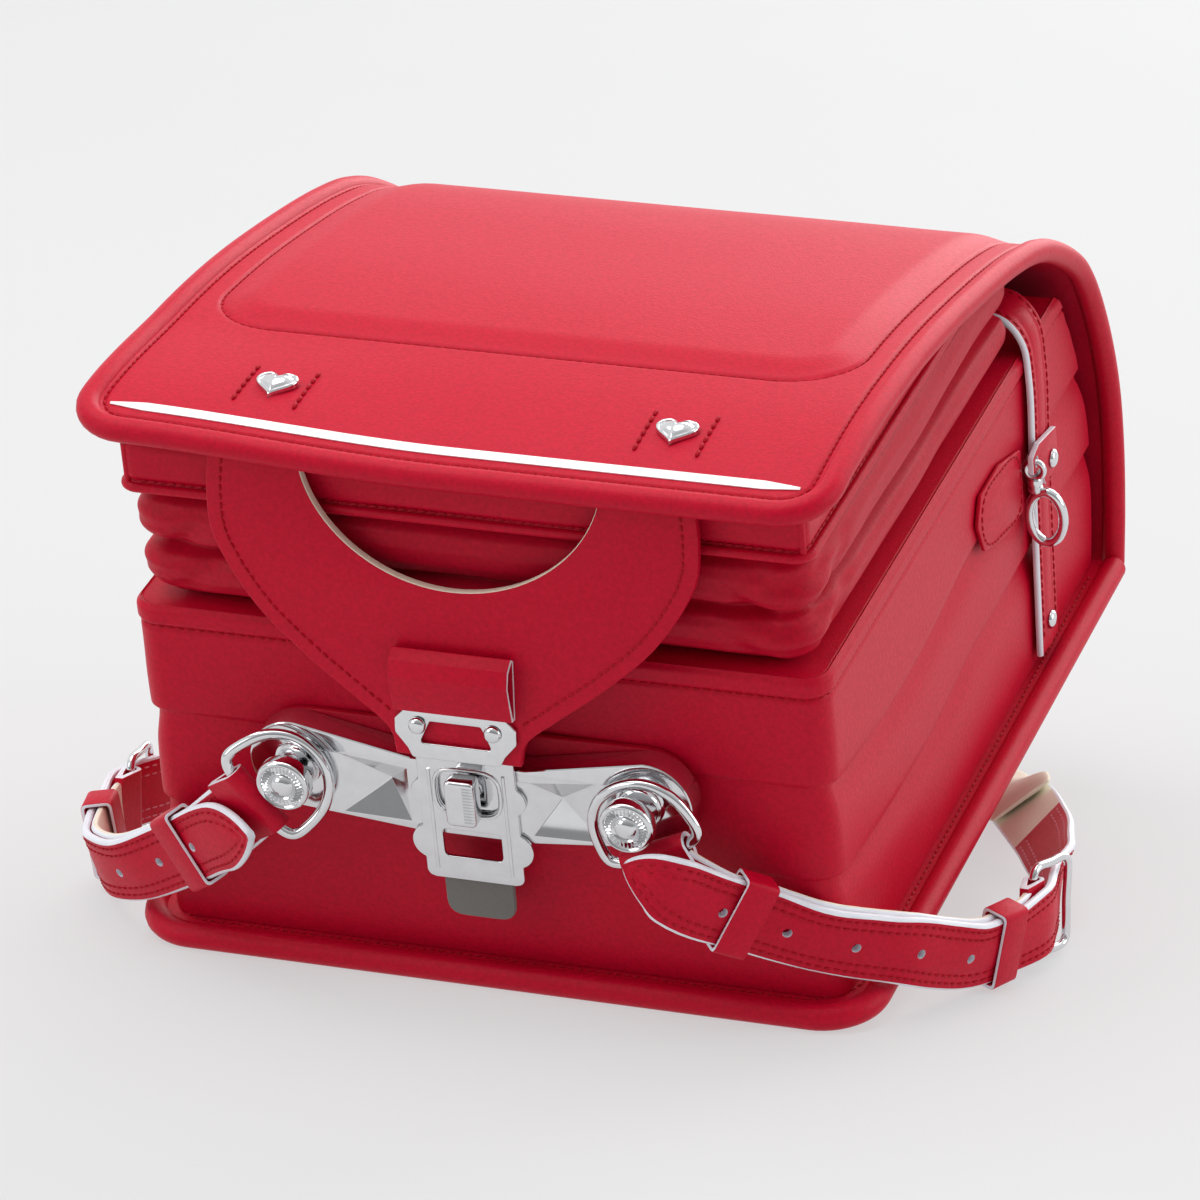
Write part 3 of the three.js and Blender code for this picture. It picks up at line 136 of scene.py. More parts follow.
class Line:
    """A smooth line through points, read off at any share of its length."""

    def __init__(self, points, per=24, closed=False):
        points = [Vector(p) for p in points]
        if closed:
            points = [points[-1], *points, points[0], points[1]]
        else:
            points = [2 * points[0] - points[1], *points, 2 * points[-1] - points[-2]]
        self.places = [points[1]]
        for p0, p1, p2, p3 in zip(points, points[1:], points[2:], points[3:]):
            d0, d1, d2 = ((b - a).length ** 0.5 for a, b in ((p0, p1), (p1, p2), (p2, p3)))
            t1 = ((p1 - p0) / d0 - (p2 - p0) / (d0 + d1) + (p2 - p1) / d1) * d1
            t2 = ((p2 - p1) / d1 - (p3 - p1) / (d1 + d2) + (p3 - p2) / d2) * d1
            for i in range(1, per + 1):
                t = i / per
                self.places.append(
                    p1 + t1 * t + (3 * (p2 - p1) - 2 * t1 - t2) * t ** 2 + (2 * (p1 - p2) + t1 + t2) * t ** 3)
        self.marks = [0.0]
        for a, b in zip(self.places, self.places[1:]):
            self.marks.append(self.marks[-1] + (b - a).length)
        self.length = self.marks[-1]

    def at(self, share):
        """The place and the direction of the line at a share of its length."""
        way = min(max(share, 0), 1) * self.length
        low, high = 0, len(self.marks) - 1
        while high - low > 1:
            middle = (low + high) // 2
            if self.marks[middle] <= way:
                low = middle
            else:
                high = middle
        a, b = self.places[low], self.places[high]
        part = (way - self.marks[low]) / max(self.marks[high] - self.marks[low], 1e-9)
        before = self.places[max(low - 1, 0)]
        after = self.places[min(high + 1, len(self.places) - 1)]
        return a.lerp(b, part), (after - before).normalized()


FLAP = Line([(0, y * BAG_LENGTH, z * BAG_DEPTH) for y, z in FLAP_LINE])


@lru_cache(maxsize=None)
def flap_at(way):
    """Place, outward direction and direction of travel on the flap's middle line."""
    point, along = FLAP.at(way / FLAP.length)
    return point, Vector((0, -along.z, along.y)), along


def flap_reach(rise):
    """How far along the bag the flap's inside lies at a height."""
    for point in reversed(FLAP.places):
        if point.z >= rise:
            return point.y
    return FLAP.places[0].y


# Finishes
LEATHER = "Smooth coated synthetic leather"
CREASED = "Soft coated synthetic leather"
THREAD = "Waxed polyester thread"
PALE_THREAD = "Pink polyester thread"
EDGE_PAINT = "Painted leather edge"
LINING = "Cream backing leather"
CHROME = "Polished chrome on cast zinc"
FELT = "Grey wool felt"
REFLECTOR = "Reflective glass bead film"
FLOOR = "Matt white studio paper"


def deselect():
    """Leaves edit mode and clears the selection."""
    if bpy.context.mode != "OBJECT":
        bpy.ops.object.mode_set(mode="OBJECT")
    bpy.ops.object.select_all(action="DESELECT")


def activate(piece):
    """Makes one piece the active and only selected one."""
    deselect()
    piece.select_set(True)
    bpy.context.view_layer.objects.active = piece


def edit(piece, *steps):
    """Runs steps on the whole of a piece in edit mode."""
    activate(piece)
    bpy.ops.object.mode_set(mode="EDIT")
    bpy.ops.mesh.select_all(action="SELECT")
    for step in steps:
        step()
    bpy.ops.object.mode_set(mode="OBJECT")


def weld():
    """Merges the mesh's doubled vertices."""
    bpy.ops.mesh.remove_doubles(threshold=1e-6)


def close_ends():
    """Fills the open ends."""
    bpy.ops.mesh.select_all(action="DESELECT")
    bpy.ops.mesh.select_non_manifold()
    bpy.ops.mesh.fill_holes(sides=0)
    bpy.ops.mesh.select_all(action="SELECT")


def face_out():
    """Turns all faces outward."""
    bpy.ops.mesh.normals_make_consistent(inside=False)


def apply(piece, kind, **settings):
    """Adds a modifier with its settings and applies it."""
    activate(piece)
    modifier = piece.modifiers.new(kind.title(), kind)
    for key, value in settings.items():
        setattr(modifier, key, value)
    bpy.ops.object.modifier_apply(modifier=modifier.name)


def skin(name, columns, rows, place, closed=False, capped=False, finish=None):
    """A grid laid over a surface: place gives each crossing of a column and a row, and finish, where it is
    given, each face's material."""
    deselect()
    bpy.ops.mesh.primitive_grid_add(x_subdivisions=len(columns) - 1, y_subdivisions=len(rows) - 1, size=1)
    piece = bpy.context.active_object
    piece.name = name
    if finish:
        for face in piece.data.polygons:
            i = int((face.center.x + 0.5) * (len(columns) - 1))
            j = int((face.center.y + 0.5) * (len(rows) - 1))
            face.material_index = finish(i, j)
    for vertex in piece.data.vertices:
        i = round((vertex.co.x + 0.5) * (len(columns) - 1))
        j = round((vertex.co.y + 0.5) * (len(rows) - 1))
        vertex.co = place(columns[i], rows[j])
    steps = [weld] if closed else []
    if capped:
        steps.append(close_ends)
    edit(piece, *steps, face_out)
    return piece


def strand(name, places, radius, closed=False, sides=4):
    """A round rope, cord or wire through places in the frame."""
    deselect()
    curve = bpy.data.curves.new(name, "CURVE")
    curve.dimensions = "3D"
    curve.bevel_depth = radius * MM
    curve.bevel_resolution = sides
    curve.use_fill_caps = not closed
    spline = curve.splines.new("POLY")
    spline.points.add(len(places) - 1)
    for point, place in zip(spline.points, places):
        point.co = (*place, 1)
    spline.use_cyclic_u = closed
    piece = bpy.data.objects.new(name, curve)
    bpy.context.scene.collection.objects.link(piece)
    activate(piece)
    bpy.ops.object.convert(target="MESH")
    edit(piece, weld, face_out)
    return piece


def plate(name, outlines, thick, place, bevel=0.3, rim=None, flat=None):
    """A flat plate from outlines, holes among them, with rounded rims; place lays its points in the frame.
    Faces on the rim that rim(point) picks, or on the flat sides if flat is set, take the second material."""
    deselect()
    curve = bpy.data.curves.new(name, "CURVE")
    curve.dimensions = "2D"
    curve.fill_mode = "BOTH"
    curve.extrude = thick / 2 - bevel
    curve.bevel_depth = bevel
    curve.bevel_resolution = 2
    curve.offset = -bevel
    for outline in outlines:
        spline = curve.splines.new("POLY")
        spline.points.add(len(outline) - 1)
        for point, (x, y) in zip(spline.points, outline):
            point.co = (x, y, 0, 1)
        spline.use_cyclic_u = True
    piece = bpy.data.objects.new(name, curve)
    bpy.context.scene.collection.objects.link(piece)
    activate(piece)
    bpy.ops.object.convert(target="MESH")
    for face in piece.data.polygons:
        lying = abs(face.normal.z) > 0.9
        chosen = lying if flat else not lying and rim and rim(face.center)
        face.material_index = 1 if chosen else 0
    for vertex in piece.data.vertices:
        vertex.co = place(vertex.co.x, vertex.co.y, vertex.co.z + thick / 2)
    edit(piece, lambda: bpy.ops.mesh.remove_doubles(threshold=1e-5), face_out)
    return piece


def turned(name, profile, place, steps=32):
    """A piece turned on a lathe: profile lists (radius, way along the axis)."""
    deselect()
    bpy.ops.mesh.primitive_circle_add(vertices=3, radius=1)
    piece = bpy.context.active_object
    piece.name = name
    mesh = piece.data
    mesh.clear_geometry()
    mesh.vertices.add(len(profile))
    mesh.edges.add(len(profile) - 1)
    for vertex, (radius, way) in zip(mesh.vertices, profile):
        vertex.co = (radius, 0, way)
    for i, line in enumerate(mesh.edges):
        line.vertices = (i, i + 1)
    mesh.update()
    edit(
        piece,
        lambda: bpy.ops.mesh.spin(steps=steps, angle=2 * math.pi, center=(0, 0, 0), axis=(0, 0, 1)),
        lambda: bpy.ops.mesh.select_all(action="SELECT"),
        lambda: bpy.ops.mesh.remove_doubles(threshold=1e-3),
        close_ends,
    )
    for vertex in mesh.vertices:
        vertex.co = place(vertex.co.x, vertex.co.y, vertex.co.z)
    edit(piece, face_out)
    return piece


def stitches(name, rows, thread=0.48, length=2.6, material=THREAD):
    """Sewn thread: one stitch modelled once and copied along rows of (place, normal) pairs."""
    deselect()
    bpy.ops.mesh.primitive_uv_sphere_add(segments=6, ring_count=5, radius=1)
    master = bpy.context.active_object
    shape = [v.co.copy() for v in master.data.vertices]
    faces = [tuple(p.vertices) for p in master.data.polygons]
    bpy.data.objects.remove(master)
    places, polygons = [], []
    for row in rows:
        for (a, normal), (b, _) in zip(row, row[1:]):
            along = (b - a).normalized()
            side = normal.cross(along).normalized()
            middle = (a + b) / 2
            start = len(places)
            for point in shape:
                across = side * (point.x * thread)
                rise = normal * (point.y * thread)
                places.append(middle + (across + rise + along * (point.z * length / 2)) * MM)
            polygons += [tuple(start + k for k in face) for face in faces]
    mesh = bpy.data.meshes.new(name)
    mesh.from_pydata(places, [], polygons)
    piece = bpy.data.objects.new(name, mesh)
    bpy.context.scene.collection.objects.link(piece)
    edit(piece, face_out)
    return dress(piece, material)


def sewn(place, start, end, pitch):
    """Places of a row of stitches at even steps, from place(way) -> (place, normal)."""
    count = max(2, round(abs(end - start) / pitch) + 1)
    return [place(start + (end - start) * i / (count - 1)) for i in range(count)]


def dress(piece, *materials, body="bag", replaces=(), angle=40):
    """Gives a finished piece its materials, its shading and the body that carries it."""
    for material in materials:
        piece.data.materials.append(finish_of(material))
    activate(piece)
    bpy.ops.object.shade_smooth_by_angle(angle=math.radians(angle))
    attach(piece, body)
    if replaces:
        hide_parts(*replaces)
    return piece


def rounded(corners, radius, steps=5):
    """A polygon with each corner rounded."""
    out = []
    for i, corner in enumerate(corners):
        at = Vector(corner)
        a = (Vector(corners[i - 1]) - at).normalized()
        b = (Vector(corners[(i + 1) % len(corners)]) - at).normalized()
        reach = radius / math.tan(a.angle(b) / 2)
        start, end = at + a * reach, at + b * reach
        for k in range(steps + 1):
            t = k / steps
            out.append(start * (1 - t) ** 2 + at * 2 * t * (1 - t) + end * t ** 2)
    return out


def box(width, height, radius, middle=0):
    """A rectangle with rounded corners, its middle at a height."""
    x, y = width / 2, height / 2
    return rounded([(x, middle + y), (-x, middle + y), (-x, middle - y), (x, middle - y)], radius)


def disc(radius, across, rise, steps):
    """A circle at a place across and up."""
    turns = [2 * math.pi * i / steps for i in range(steps)]
    return [(across + radius * math.cos(turn), rise + radius * math.sin(turn)) for turn in turns]


def carve(piece, tool):
    """Cuts one piece out of another."""
    apply(piece, "BOOLEAN", operation="DIFFERENCE", object=tool, solver="EXACT")
    bpy.data.objects.remove(tool)


def block(name, corners):
    """A wedge from the eight corners of a cube, low four first."""
    deselect()
    bpy.ops.mesh.primitive_cube_add(size=2)
    piece = bpy.context.active_object
    piece.name = name
    for vertex in piece.data.vertices:
        x, y, z = (c > 0 for c in vertex.co)
        vertex.co = corners[(4 if z else 0) + (2 if y else 0) + (1 if x else 0)]
    edit(piece, face_out)
    return piece


def linear(code):
    """An sRGB hex colour as linear values."""
    parts = [int(code[i:i + 2], 16) / 255 for i in (1, 3, 5)]
    return (*[p / 12.92 if p <= 0.04045 else ((p + 0.055) / 1.055) ** 2.4 for p in parts], 1)


def add(tree, kind, inputs=None, **settings):
    """Adds a node with its settings, its input values and its links."""
    made = tree.nodes.new(kind)
    for key, value in settings.items():
        setattr(made, key, value)
    for key, value in (inputs or {}).items():
        if isinstance(value, bpy.types.NodeSocket):
            tree.links.new(value, made.inputs[key])
        else:
            made.inputs[key].default_value = value
    return made


class Surface:
    """A material in the making; its patterns lie on the object's own coordinates."""

    def __init__(self, name):
        self.material = bpy.data.materials.new(name)
        self.material.use_nodes = True
        self.tree = self.material.node_tree
        self.tree.nodes.clear()
        self.shader = add(self.tree, "ShaderNodeBsdfPrincipled")
        add(self.tree, "ShaderNodeOutputMaterial", {"Surface": self.shader.outputs["BSDF"]})
        self.places = add(self.tree, "ShaderNodeTexCoord").outputs["Object"]

    def pattern(self, kind, across, inputs=None, **settings):
        """A texture whose cells are so many millimetres across."""
        values = {"Vector": self.places, "Scale": 1 / (across * MM), **(inputs or {})}
        return add(self.tree, kind, values, **settings).outputs

    def tint(self, share, light, deep):
        """Colour between a light and a deep tone."""
        mixed = add(self.tree, "ShaderNodeMix", {"Factor": share, 6: light, 7: deep}, data_type="RGBA")
        self.tree.links.new(mixed.outputs[2], self.shader.inputs["Base Color"])

    def emboss(self, height, strength, depth):
        """Relief so many millimetres deep."""
        values = {"Height": height, "Strength": strength, "Distance": depth * MM}
        bump = add(self.tree, "ShaderNodeBump", values)
        self.tree.links.new(bump.outputs["Normal"], self.shader.inputs["Normal"])

    def polish(self, share, low, high):
        """Roughness between two values."""
        gloss = add(self.tree, "ShaderNodeMapRange", {"Value": share, "To Min": low, "To Max": high})
        self.tree.links.new(gloss.outputs["Result"], self.shader.inputs["Roughness"])


def leather(name, light, deep, rough, grain, relief):
    """Rolled and coated sheet: nearly even colour, a fine pressed grain and a soft sheen. The grain is drawn
    about twice as coarse as the real one, so that it still shows in the picture."""
    made = Surface(name)
    pores = made.pattern("ShaderNodeTexVoronoi", grain, {"Randomness": 1})
    fine = made.pattern("ShaderNodeTexNoise", 2.2 * grain, {"Detail": 5, "Roughness": 0.6})
    dyed = add(made.tree, "ShaderNodeMapRange", {"Value": fine["Fac"], "From Min": 0.32, "From Max": 0.68})
    made.tint(dyed.outputs["Result"], light, deep)
    height = add(made.tree, "ShaderNodeMath", {0: pores["Distance"], 1: fine["Fac"]}, operation="ADD")
    made.emboss(height.outputs[0], relief, 0.06)
    made.polish(fine["Fac"], rough - 0.05, rough + 0.07)
    made.shader.inputs["Specular IOR Level"].default_value = 0.16
    return made.material


def thread(name, light, deep):
    """Twisted thread, a shade deeper than the leather: slanting plies, drawn coarser than the real ones."""
    made = Surface(name)
    plies = made.pattern(
        "ShaderNodeTexWave", 3.846, {"Distortion": 1.5, "Detail": 1}, bands_direction="DIAGONAL")["Fac"]
    made.tint(plies, light, deep)
    made.emboss(plies, 0.5, 0.08)
    made.shader.inputs["Roughness"].default_value = 0.6
    made.shader.inputs["Specular IOR Level"].default_value = 0.15
    return made.material


def edge_paint(name, light, deep):
    """Several coats of edge paint: pale, rounded and slightly glossy, with faint lap marks."""
    made = Surface(name)
    laps = made.pattern("ShaderNodeTexNoise", 7.143, {"Detail": 4})["Fac"]
    made.tint(laps, light, deep)
    made.emboss(laps, 0.25, 0.1)
    made.shader.inputs["Roughness"].default_value = 0.35
    return made.material


def backing(name, light, deep):
    """Soft cream backing with a brushed nap and pin-fine pores."""
    made = Surface(name)
    nap = made.pattern("ShaderNodeTexNoise", 1.111, {"Detail": 4, "Roughness": 0.65})["Fac"]
    made.tint(nap, light, deep)
    made.emboss(nap, 0.4, 0.1)
    made.shader.inputs["Roughness"].default_value = 0.75
    return made.material


def plated(name, light, deep, rough):
    """Bright plating over a polished casting: mirror gloss with a trace of polishing haze."""
    made = Surface(name)
    haze = made.pattern("ShaderNodeTexNoise", 6.25, {"Detail": 5, "Roughness": 0.7})["Fac"]
    made.tint(haze, light, deep)
    made.polish(haze, rough * 0.7, rough * 1.4)
    made.shader.inputs["Metallic"].default_value = 1
    return made.material


def felted(name, light, deep):
    """Pressed wool: matted fibres in two greys with a dusty sheen."""
    made = Surface(name)
    fibres = made.pattern(
        "ShaderNodeTexNoise", 0.7143, {"Detail": 6, "Roughness": 0.75, "Distortion": 1.2})["Fac"]
    made.tint(fibres, light, deep)
    made.emboss(fibres, 0.7, 0.2)
    made.shader.inputs["Roughness"].default_value = 0.9
    made.shader.inputs["Sheen Weight"].default_value = 0.3
    return made.material


def beaded(name, light, deep):
    """White film over glass beads: even, bright, with a tight honeycomb of seals, drawn coarser than real."""
    made = Surface(name)
    cells = made.pattern("ShaderNodeTexVoronoi", 1.111, feature="DISTANCE_TO_EDGE")["Distance"]
    spread = add(made.tree, "ShaderNodeMapRange", {"Value": cells, "From Max": 0.08})
    made.tint(spread.outputs["Result"], deep, light)
    made.shader.inputs["Roughness"].default_value = 0.3
    made.shader.inputs["Coat Weight"].default_value = 0.4
    return made.material


def paper(name, light, deep):
    """Seamless studio paper, matt and almost even; its own glow stands for the lamps of a light table."""
    made = Surface(name)
    cloud = made.pattern("ShaderNodeTexNoise", 333.3, {"Detail": 2})["Fac"]
    made.tint(cloud, light, deep)
    made.shader.inputs["Roughness"].default_value = 0.95
    made.shader.inputs["Specular IOR Level"].default_value = 0.1
    made.shader.inputs["Emission Color"].default_value = linear("#FAFAFB")
    made.shader.inputs["Emission Strength"].default_value = 0.53
    return made.material


# Each finish: its colour among the properties, the share of its deep tone, and the surface it is made with
FINISHES = {
    LEATHER: ("leather", 0.8, lambda name, *tones: leather(name, *tones, 0.42, 0.7, 0.8)),
    CREASED: ("gusset", 0.78, lambda name, *tones: leather(name, *tones, 0.46, 0.8, 0.8)),
    THREAD: ("thread", 0.75, thread),
    PALE_THREAD: ("pale_thread", 0.82, thread),
    EDGE_PAINT: ("edge", 0.83, edge_paint),
    LINING: ("lining", 0.88, backing),
    CHROME: ("metal", 0.83, lambda name, *tones: plated(name, *tones, 0.09)),
    FELT: ("felt", 0.58, felted),
    REFLECTOR: ("reflector", 0.8, beaded),
    FLOOR: ("floor", 0.95, paper),
}


@lru_cache(maxsize=None)
def finish_of(name):
    """The material of a finish, made once."""
    colour, share, make = FINISHES[name]
    light = tuple(getattr(bpy.context.scene.ransel_colours, colour))
    deep = tuple(part * share for part in light)
    return make(name, (*light, 1), (*deep, 1))


def colour(name, description, code):
    """A colour property with its default in sRGB hex."""
    return FloatVectorProperty(
        name=name, description=description, default=linear(code)[:3], size=3, min=0, max=1, subtype="COLOR")


class RanselColours(bpy.types.PropertyGroup):
    """Colours of the ransel and of the floor under it."""

    leather: colour("Leather", "Smooth leather of the flap, the body and the straps", "#C4052B")
    gusset: colour("Gusset", "Softer leather of the gusset", "#BC0428")
    thread: colour("Thread", "Thread of the seams", "#B0061F")
    pale_thread: colour("Pale thread", "Thread of the lined straps", "#D9808C")
    edge: colour("Edge paint", "Painted edges of the straps", "#E9ECF4")
    lining: colour("Lining", "Backing leather inside the straps and the tab", "#EDE5D0")
    metal: colour("Metal", "Plated lock, rings, buckles and rivets", "#E6E7E9")
    felt: colour("Felt", "Tongue under the hasp", "#77736E")
    reflector: colour("Reflector", "Stripe on the flap", "#F6F7F9")
    floor: colour("Floor", "Studio paper under the ransel", "#858585")


class RanselSizes(bpy.types.PropertyGroup):
    """Sizes of the leather and the sewing."""

    pad_raise: FloatProperty(
        name="Panel height", description="How far the flap's middle panel stands up", default=2.2 * MM,
        unit="LENGTH")
    crease: FloatProperty(
        name="Crease depth", description="Depth of the creases pressed into the body", default=2.5 * MM,
        unit="LENGTH")
    strap_width: FloatProperty(
        name="Strap width", description="Width of the shoulder straps", default=24.4 * MM, unit="LENGTH")
    strap_thick: FloatProperty(
        name="Strap thickness", description="Thickness of one strap", default=3 * MM, unit="LENGTH")
    stitch: FloatProperty(
        name="Stitch pitch", description="Distance from one stitch to the next", default=3.3 * MM,
        unit="LENGTH")
    wire: FloatProperty(
        name="Ring wire", description="Radius of the rings' wire", default=1.9 * MM, unit="LENGTH")


def size(name):
    """A size among the properties, in millimetres."""
    return getattr(bpy.context.scene.ransel, name) / MM


# The camera as fitted to the photo: its place in the upright directions, in millimetres, its axes, and its
# focal length and shift in the photo's pixels
CAMERA_AT = (759.1, -1992.1, 760.1)
CAMERA_BACK = Vector((0.32618, -0.904893, 0.273451))
CAMERA_RIGHT = Vector((0.939672, 0.341914, 0.010579))
PICTURE = 1200
FOCAL = 6828.47
OFF_MIDDLE = (-13.47, -56.4)
SENSOR = 36

# Soft lights: name, place in metres, width in metres, watts
LIGHTS = [
    ("overhead", (-0.5, -0.3, 2.1), 2.0, 27),
    ("back", (0.5, 2.4, 1.4), 2.2, 44),
    ("right", (2.4, 0.3, 0.9), 1.4, 14),
    ("front", (-1.6, -1.8, 0.9), 1.2, 9),
]
LIT = Vector((0, 0, 0.1))
FLOOR_SIZE = 14


class RANSEL_OT_stage(bpy.types.Operator):
    """Camera, floor and soft light"""

    bl_idname = "ransel.stage"
    bl_label = "Stage"

    def execute(self, context):
        camera_data = bpy.data.cameras.new("Camera")
        camera = bpy.data.objects.new("Camera", camera_data)
        context.scene.collection.objects.link(camera)
        axes = Matrix((CAMERA_RIGHT, CAMERA_BACK.cross(CAMERA_RIGHT), CAMERA_BACK)).transposed()
        camera.matrix_world = Matrix.Translation(upright(*CAMERA_AT)) @ axes.to_4x4()
        camera_data.sensor_width = SENSOR
        camera_data.lens = SENSOR * FOCAL / PICTURE
        camera_data.shift_x = OFF_MIDDLE[0] / PICTURE
        camera_data.shift_y = OFF_MIDDLE[1] / PICTURE
        camera_data.clip_end = 20
        context.scene.camera = camera
        deselect()
        bpy.ops.mesh.primitive_plane_add(size=FLOOR_SIZE)
        floor = context.active_object
        floor.name = "studio_floor"
        floor.data.materials.append(finish_of(FLOOR))
        for name, place, width, power in LIGHTS:
            data = bpy.data.lights.new(name, "AREA")
            data.shape = "SQUARE"
            data.size = width
            data.energy = power
            light = bpy.data.objects.new(name, data)
            context.scene.collection.objects.link(light)
            light.location = place
            light.rotation_euler = (LIT - Vector(place)).to_track_quat("-Z", "Y").to_euler()
        world = bpy.data.worlds.new("Studio")
        world.use_nodes = True
        tree = world.node_tree
        way = add(tree, "ShaderNodeTexCoord").outputs["Generated"]
        # The sky is brighter behind and above the bag, which lights its far and upper faces
        facing = add(tree, "ShaderNodeVectorMath", {0: way, 1: (-0.2, 0.75, 0.6)}, operation="DOT_PRODUCT")
        power = add(tree, "ShaderNodeMapRange", {
            "Value": facing.outputs["Value"], "From Min": -0.6, "From Max": 0.6, "To Min": 0.3,
            "To Max": 0.95})
        tree.links.new(power.outputs["Result"], tree.nodes["Background"].inputs["Strength"])
        tree.nodes["Background"].inputs["Color"].default_value = linear("#FBFBFC")
        context.scene.world = world
        context.scene.view_settings.view_transform = "Standard"
        return {"FINISHED"}


def spaced(start, end, step):
    """Even places from start to end, about a step apart."""
    count = max(1, round(abs(end - start) / step))
    return [start + (end - start) * i / count for i in range(count + 1)]


def ticks(*stretches):
    """Sorted places without repeats, from stretches of (start, end, step)."""
    places = sorted({round(v, 4) for stretch in stretches for v in spaced(*stretch)})
    return [v for i, v in enumerate(places) if not i or v - places[i - 1] > 0.05]


FLAP_HALF = FLAP_WIDTH / 2 - FLAP_ROPE
FLAP_BEND = FLAP_CORNER - FLAP_ROPE
SEAM_INSET = 5.3
SEAM_GROOVE = 0.7
ROPE_ROLL = 1.3
PAD_CORNER = 24
PAD_SLOPE = 13
PAD_GROOVE = 0.4
PAD_END = 8
CORNER_CURL = 6
STRIPE_HALF = 117
STRIPE_ALONG = 11
STRIPE_TAPER = 12
HEART_ACROSS = 68.5
HEART_ALONG = 32
HEART_SCALE = 0.45


def inside(across, along, bend):
    """Distance in from a rounded outline, given the distances in from its side and its front."""
    if across < bend and along < bend:
        return bend - math.hypot(bend - across, bend - along)
    return min(across, along)


def flap_relief(x, way):
    """Height of the flap's face over its sheet: a pressed panel and a sewn groove by the rope."""
    seam = inside(FLAP_HALF - abs(x), way, FLAP_BEND)
    groove = -SEAM_GROOVE * math.exp(-((seam - SEAM_INSET) / SEAM_GROOVE) ** 2)
    pad = inside(FLAP_WIDTH / 2 - PAD_MARGIN - abs(x), way - PAD_START, PAD_CORNER)
    raised = size("pad_raise") * smooth(-0.3, PAD_SLOPE, pad)
    raised -= math.exp(-((pad + PAD_GROOVE) / SEAM_GROOVE) ** 2)
    wave = 0.25 * noise.noise(Vector((x / 60, way / 70, 0))) * smooth(0, 40, pad)
    roll = ROPE_ROLL * smooth(SEAM_INSET - 1, 1, seam)
    return groove + raised + wave + roll


def flap_warp(x, way):
    """The left front corner curls up a little."""
    return CORNER_CURL * smooth(0, 120, -x) * smooth(75, 0, way)


def on_flap(x, way, out):
    """A place at a height over the flap's middle surface."""
    point, normal, _ = flap_at(way)
    place = point + normal * (out + flap_warp(x, way))
    return bag(x, place.y, place.z)


def flap_face(x, way, lift=0.0):
    """A place on the flap's pressed outer face."""
    return on_flap(x, way, FLAP_SHEET / 2 + flap_relief(x, way) + lift)


def on_face(x, way, lift):
    """A stitch's place on the flap's face, and the direction away from the face."""
    return flap_face(x, way, lift), TURN @ flap_at(way)[1]


def flap_edge(way, inset=0.0):
    """A place on the flap's outline: way runs down the left side, round the front and up the right side."""
    side = FLAP.length - FLAP_BEND
    bend = FLAP_BEND - inset
    arc = math.pi / 2 * bend
    front = 2 * (FLAP_HALF - FLAP_BEND)
    if way < side:
        return -FLAP_HALF + inset, FLAP.length - way
    if way < side + arc:
        turn = (way - side) / bend
        return -FLAP_HALF + FLAP_BEND - bend * math.cos(turn), FLAP_BEND - bend * math.sin(turn)
    if way < side + arc + front:
        return way - side - arc - front / 2, inset
    if way < side + 2 * arc + front:
        turn = (way - side - arc - front) / bend
        return FLAP_HALF - FLAP_BEND + bend * math.sin(turn), FLAP_BEND - bend * math.cos(turn)
    return FLAP_HALF - inset, FLAP_BEND + way - side - 2 * arc - front


def pad_edge(way):
    """A place in the groove round the pressed panel: way 0 to 5 runs down the left side, over the front and
    up the right side, with a whole number at each end of a bend."""
    if way > 2.5:
        x, along = pad_edge(5 - way)
        return -x, along
    half = FLAP_WIDTH / 2 - PAD_MARGIN + PAD_GROOVE
    front = PAD_START - PAD_GROOVE
    bend = PAD_CORNER + PAD_GROOVE
    if way < 1:
        far = FLAP.length - PAD_END
        return -half, far + (front + bend - far) * way
    if way < 2:
        turn = (way - 1) * math.pi / 2
        return -half + bend - bend * math.cos(turn), front + bend - bend * math.sin(turn)
    return (bend - half) * (5 - 2 * way), front


def flap_round(inset):
    """Length of the flap's outline at an inset."""
    return 2 * (FLAP.length - FLAP_BEND) + math.pi * (FLAP_BEND - inset) + 2 * (FLAP_HALF - FLAP_BEND)


class RANSEL_OT_flap(bpy.types.Operator):
    """Bent cover with its rolled rope, pressed panel and seam"""

    bl_idname = "ransel.flap"
    bl_label = "Flap"

    def execute(self, context):
        half = ticks(
            (0, 84, 7), (84, 104, 1.6), (104, 114, 0.6), (114, 119, 1), (119, 123, 0.4),
            (123, FLAP_HALF, 1.4))
        top = [-x for x in reversed(half)] + half[1:]
        columns = [(x, 1) for x in top] + [(x, -1) for x in reversed(top[::4])]
        columns.append(columns[0])
        rows = ticks(
            (0, 4, 0.8), (4, 7, 0.4), (7, 13, 1), (13, 67, 4), (67, 72, 1), (72, 80, 0.6), (80, 100, 1.6),
            (100, FLAP.length, 5))

        def place(column, way):
            x, side = column
            short = max(FLAP_BEND - way, 0)
            width = FLAP_HALF - FLAP_BEND + math.sqrt(FLAP_BEND ** 2 - short ** 2)
            x *= width / FLAP_HALF
            if side > 0:
                return flap_face(x, way)
            return on_flap(x, way, -FLAP_SHEET / 2)

        sheet = skin("flap_sheet", columns, rows, place, closed=True, capped=True)
        dress(sheet, LEATHER, replaces=["flap"])
        rope = [on_flap(*flap_edge(way), 0) for way in spaced(0, flap_round(0), 3)]
        dress(strand("flap_rope", rope, FLAP_ROPE, sides=6), LEATHER)
        outer = sewn(
            lambda way: on_face(*flap_edge(way, SEAM_INSET), 0.25), 0, flap_round(SEAM_INSET), size("stitch"))
        stitches("flap_seam", [outer])
        inner = even(lambda way: on_face(*pad_edge(way), 0.35), 0, 5, size("stitch"))
        stitches("panel_seam", [inner], thread=0.42)
        return {"FINISHED"}


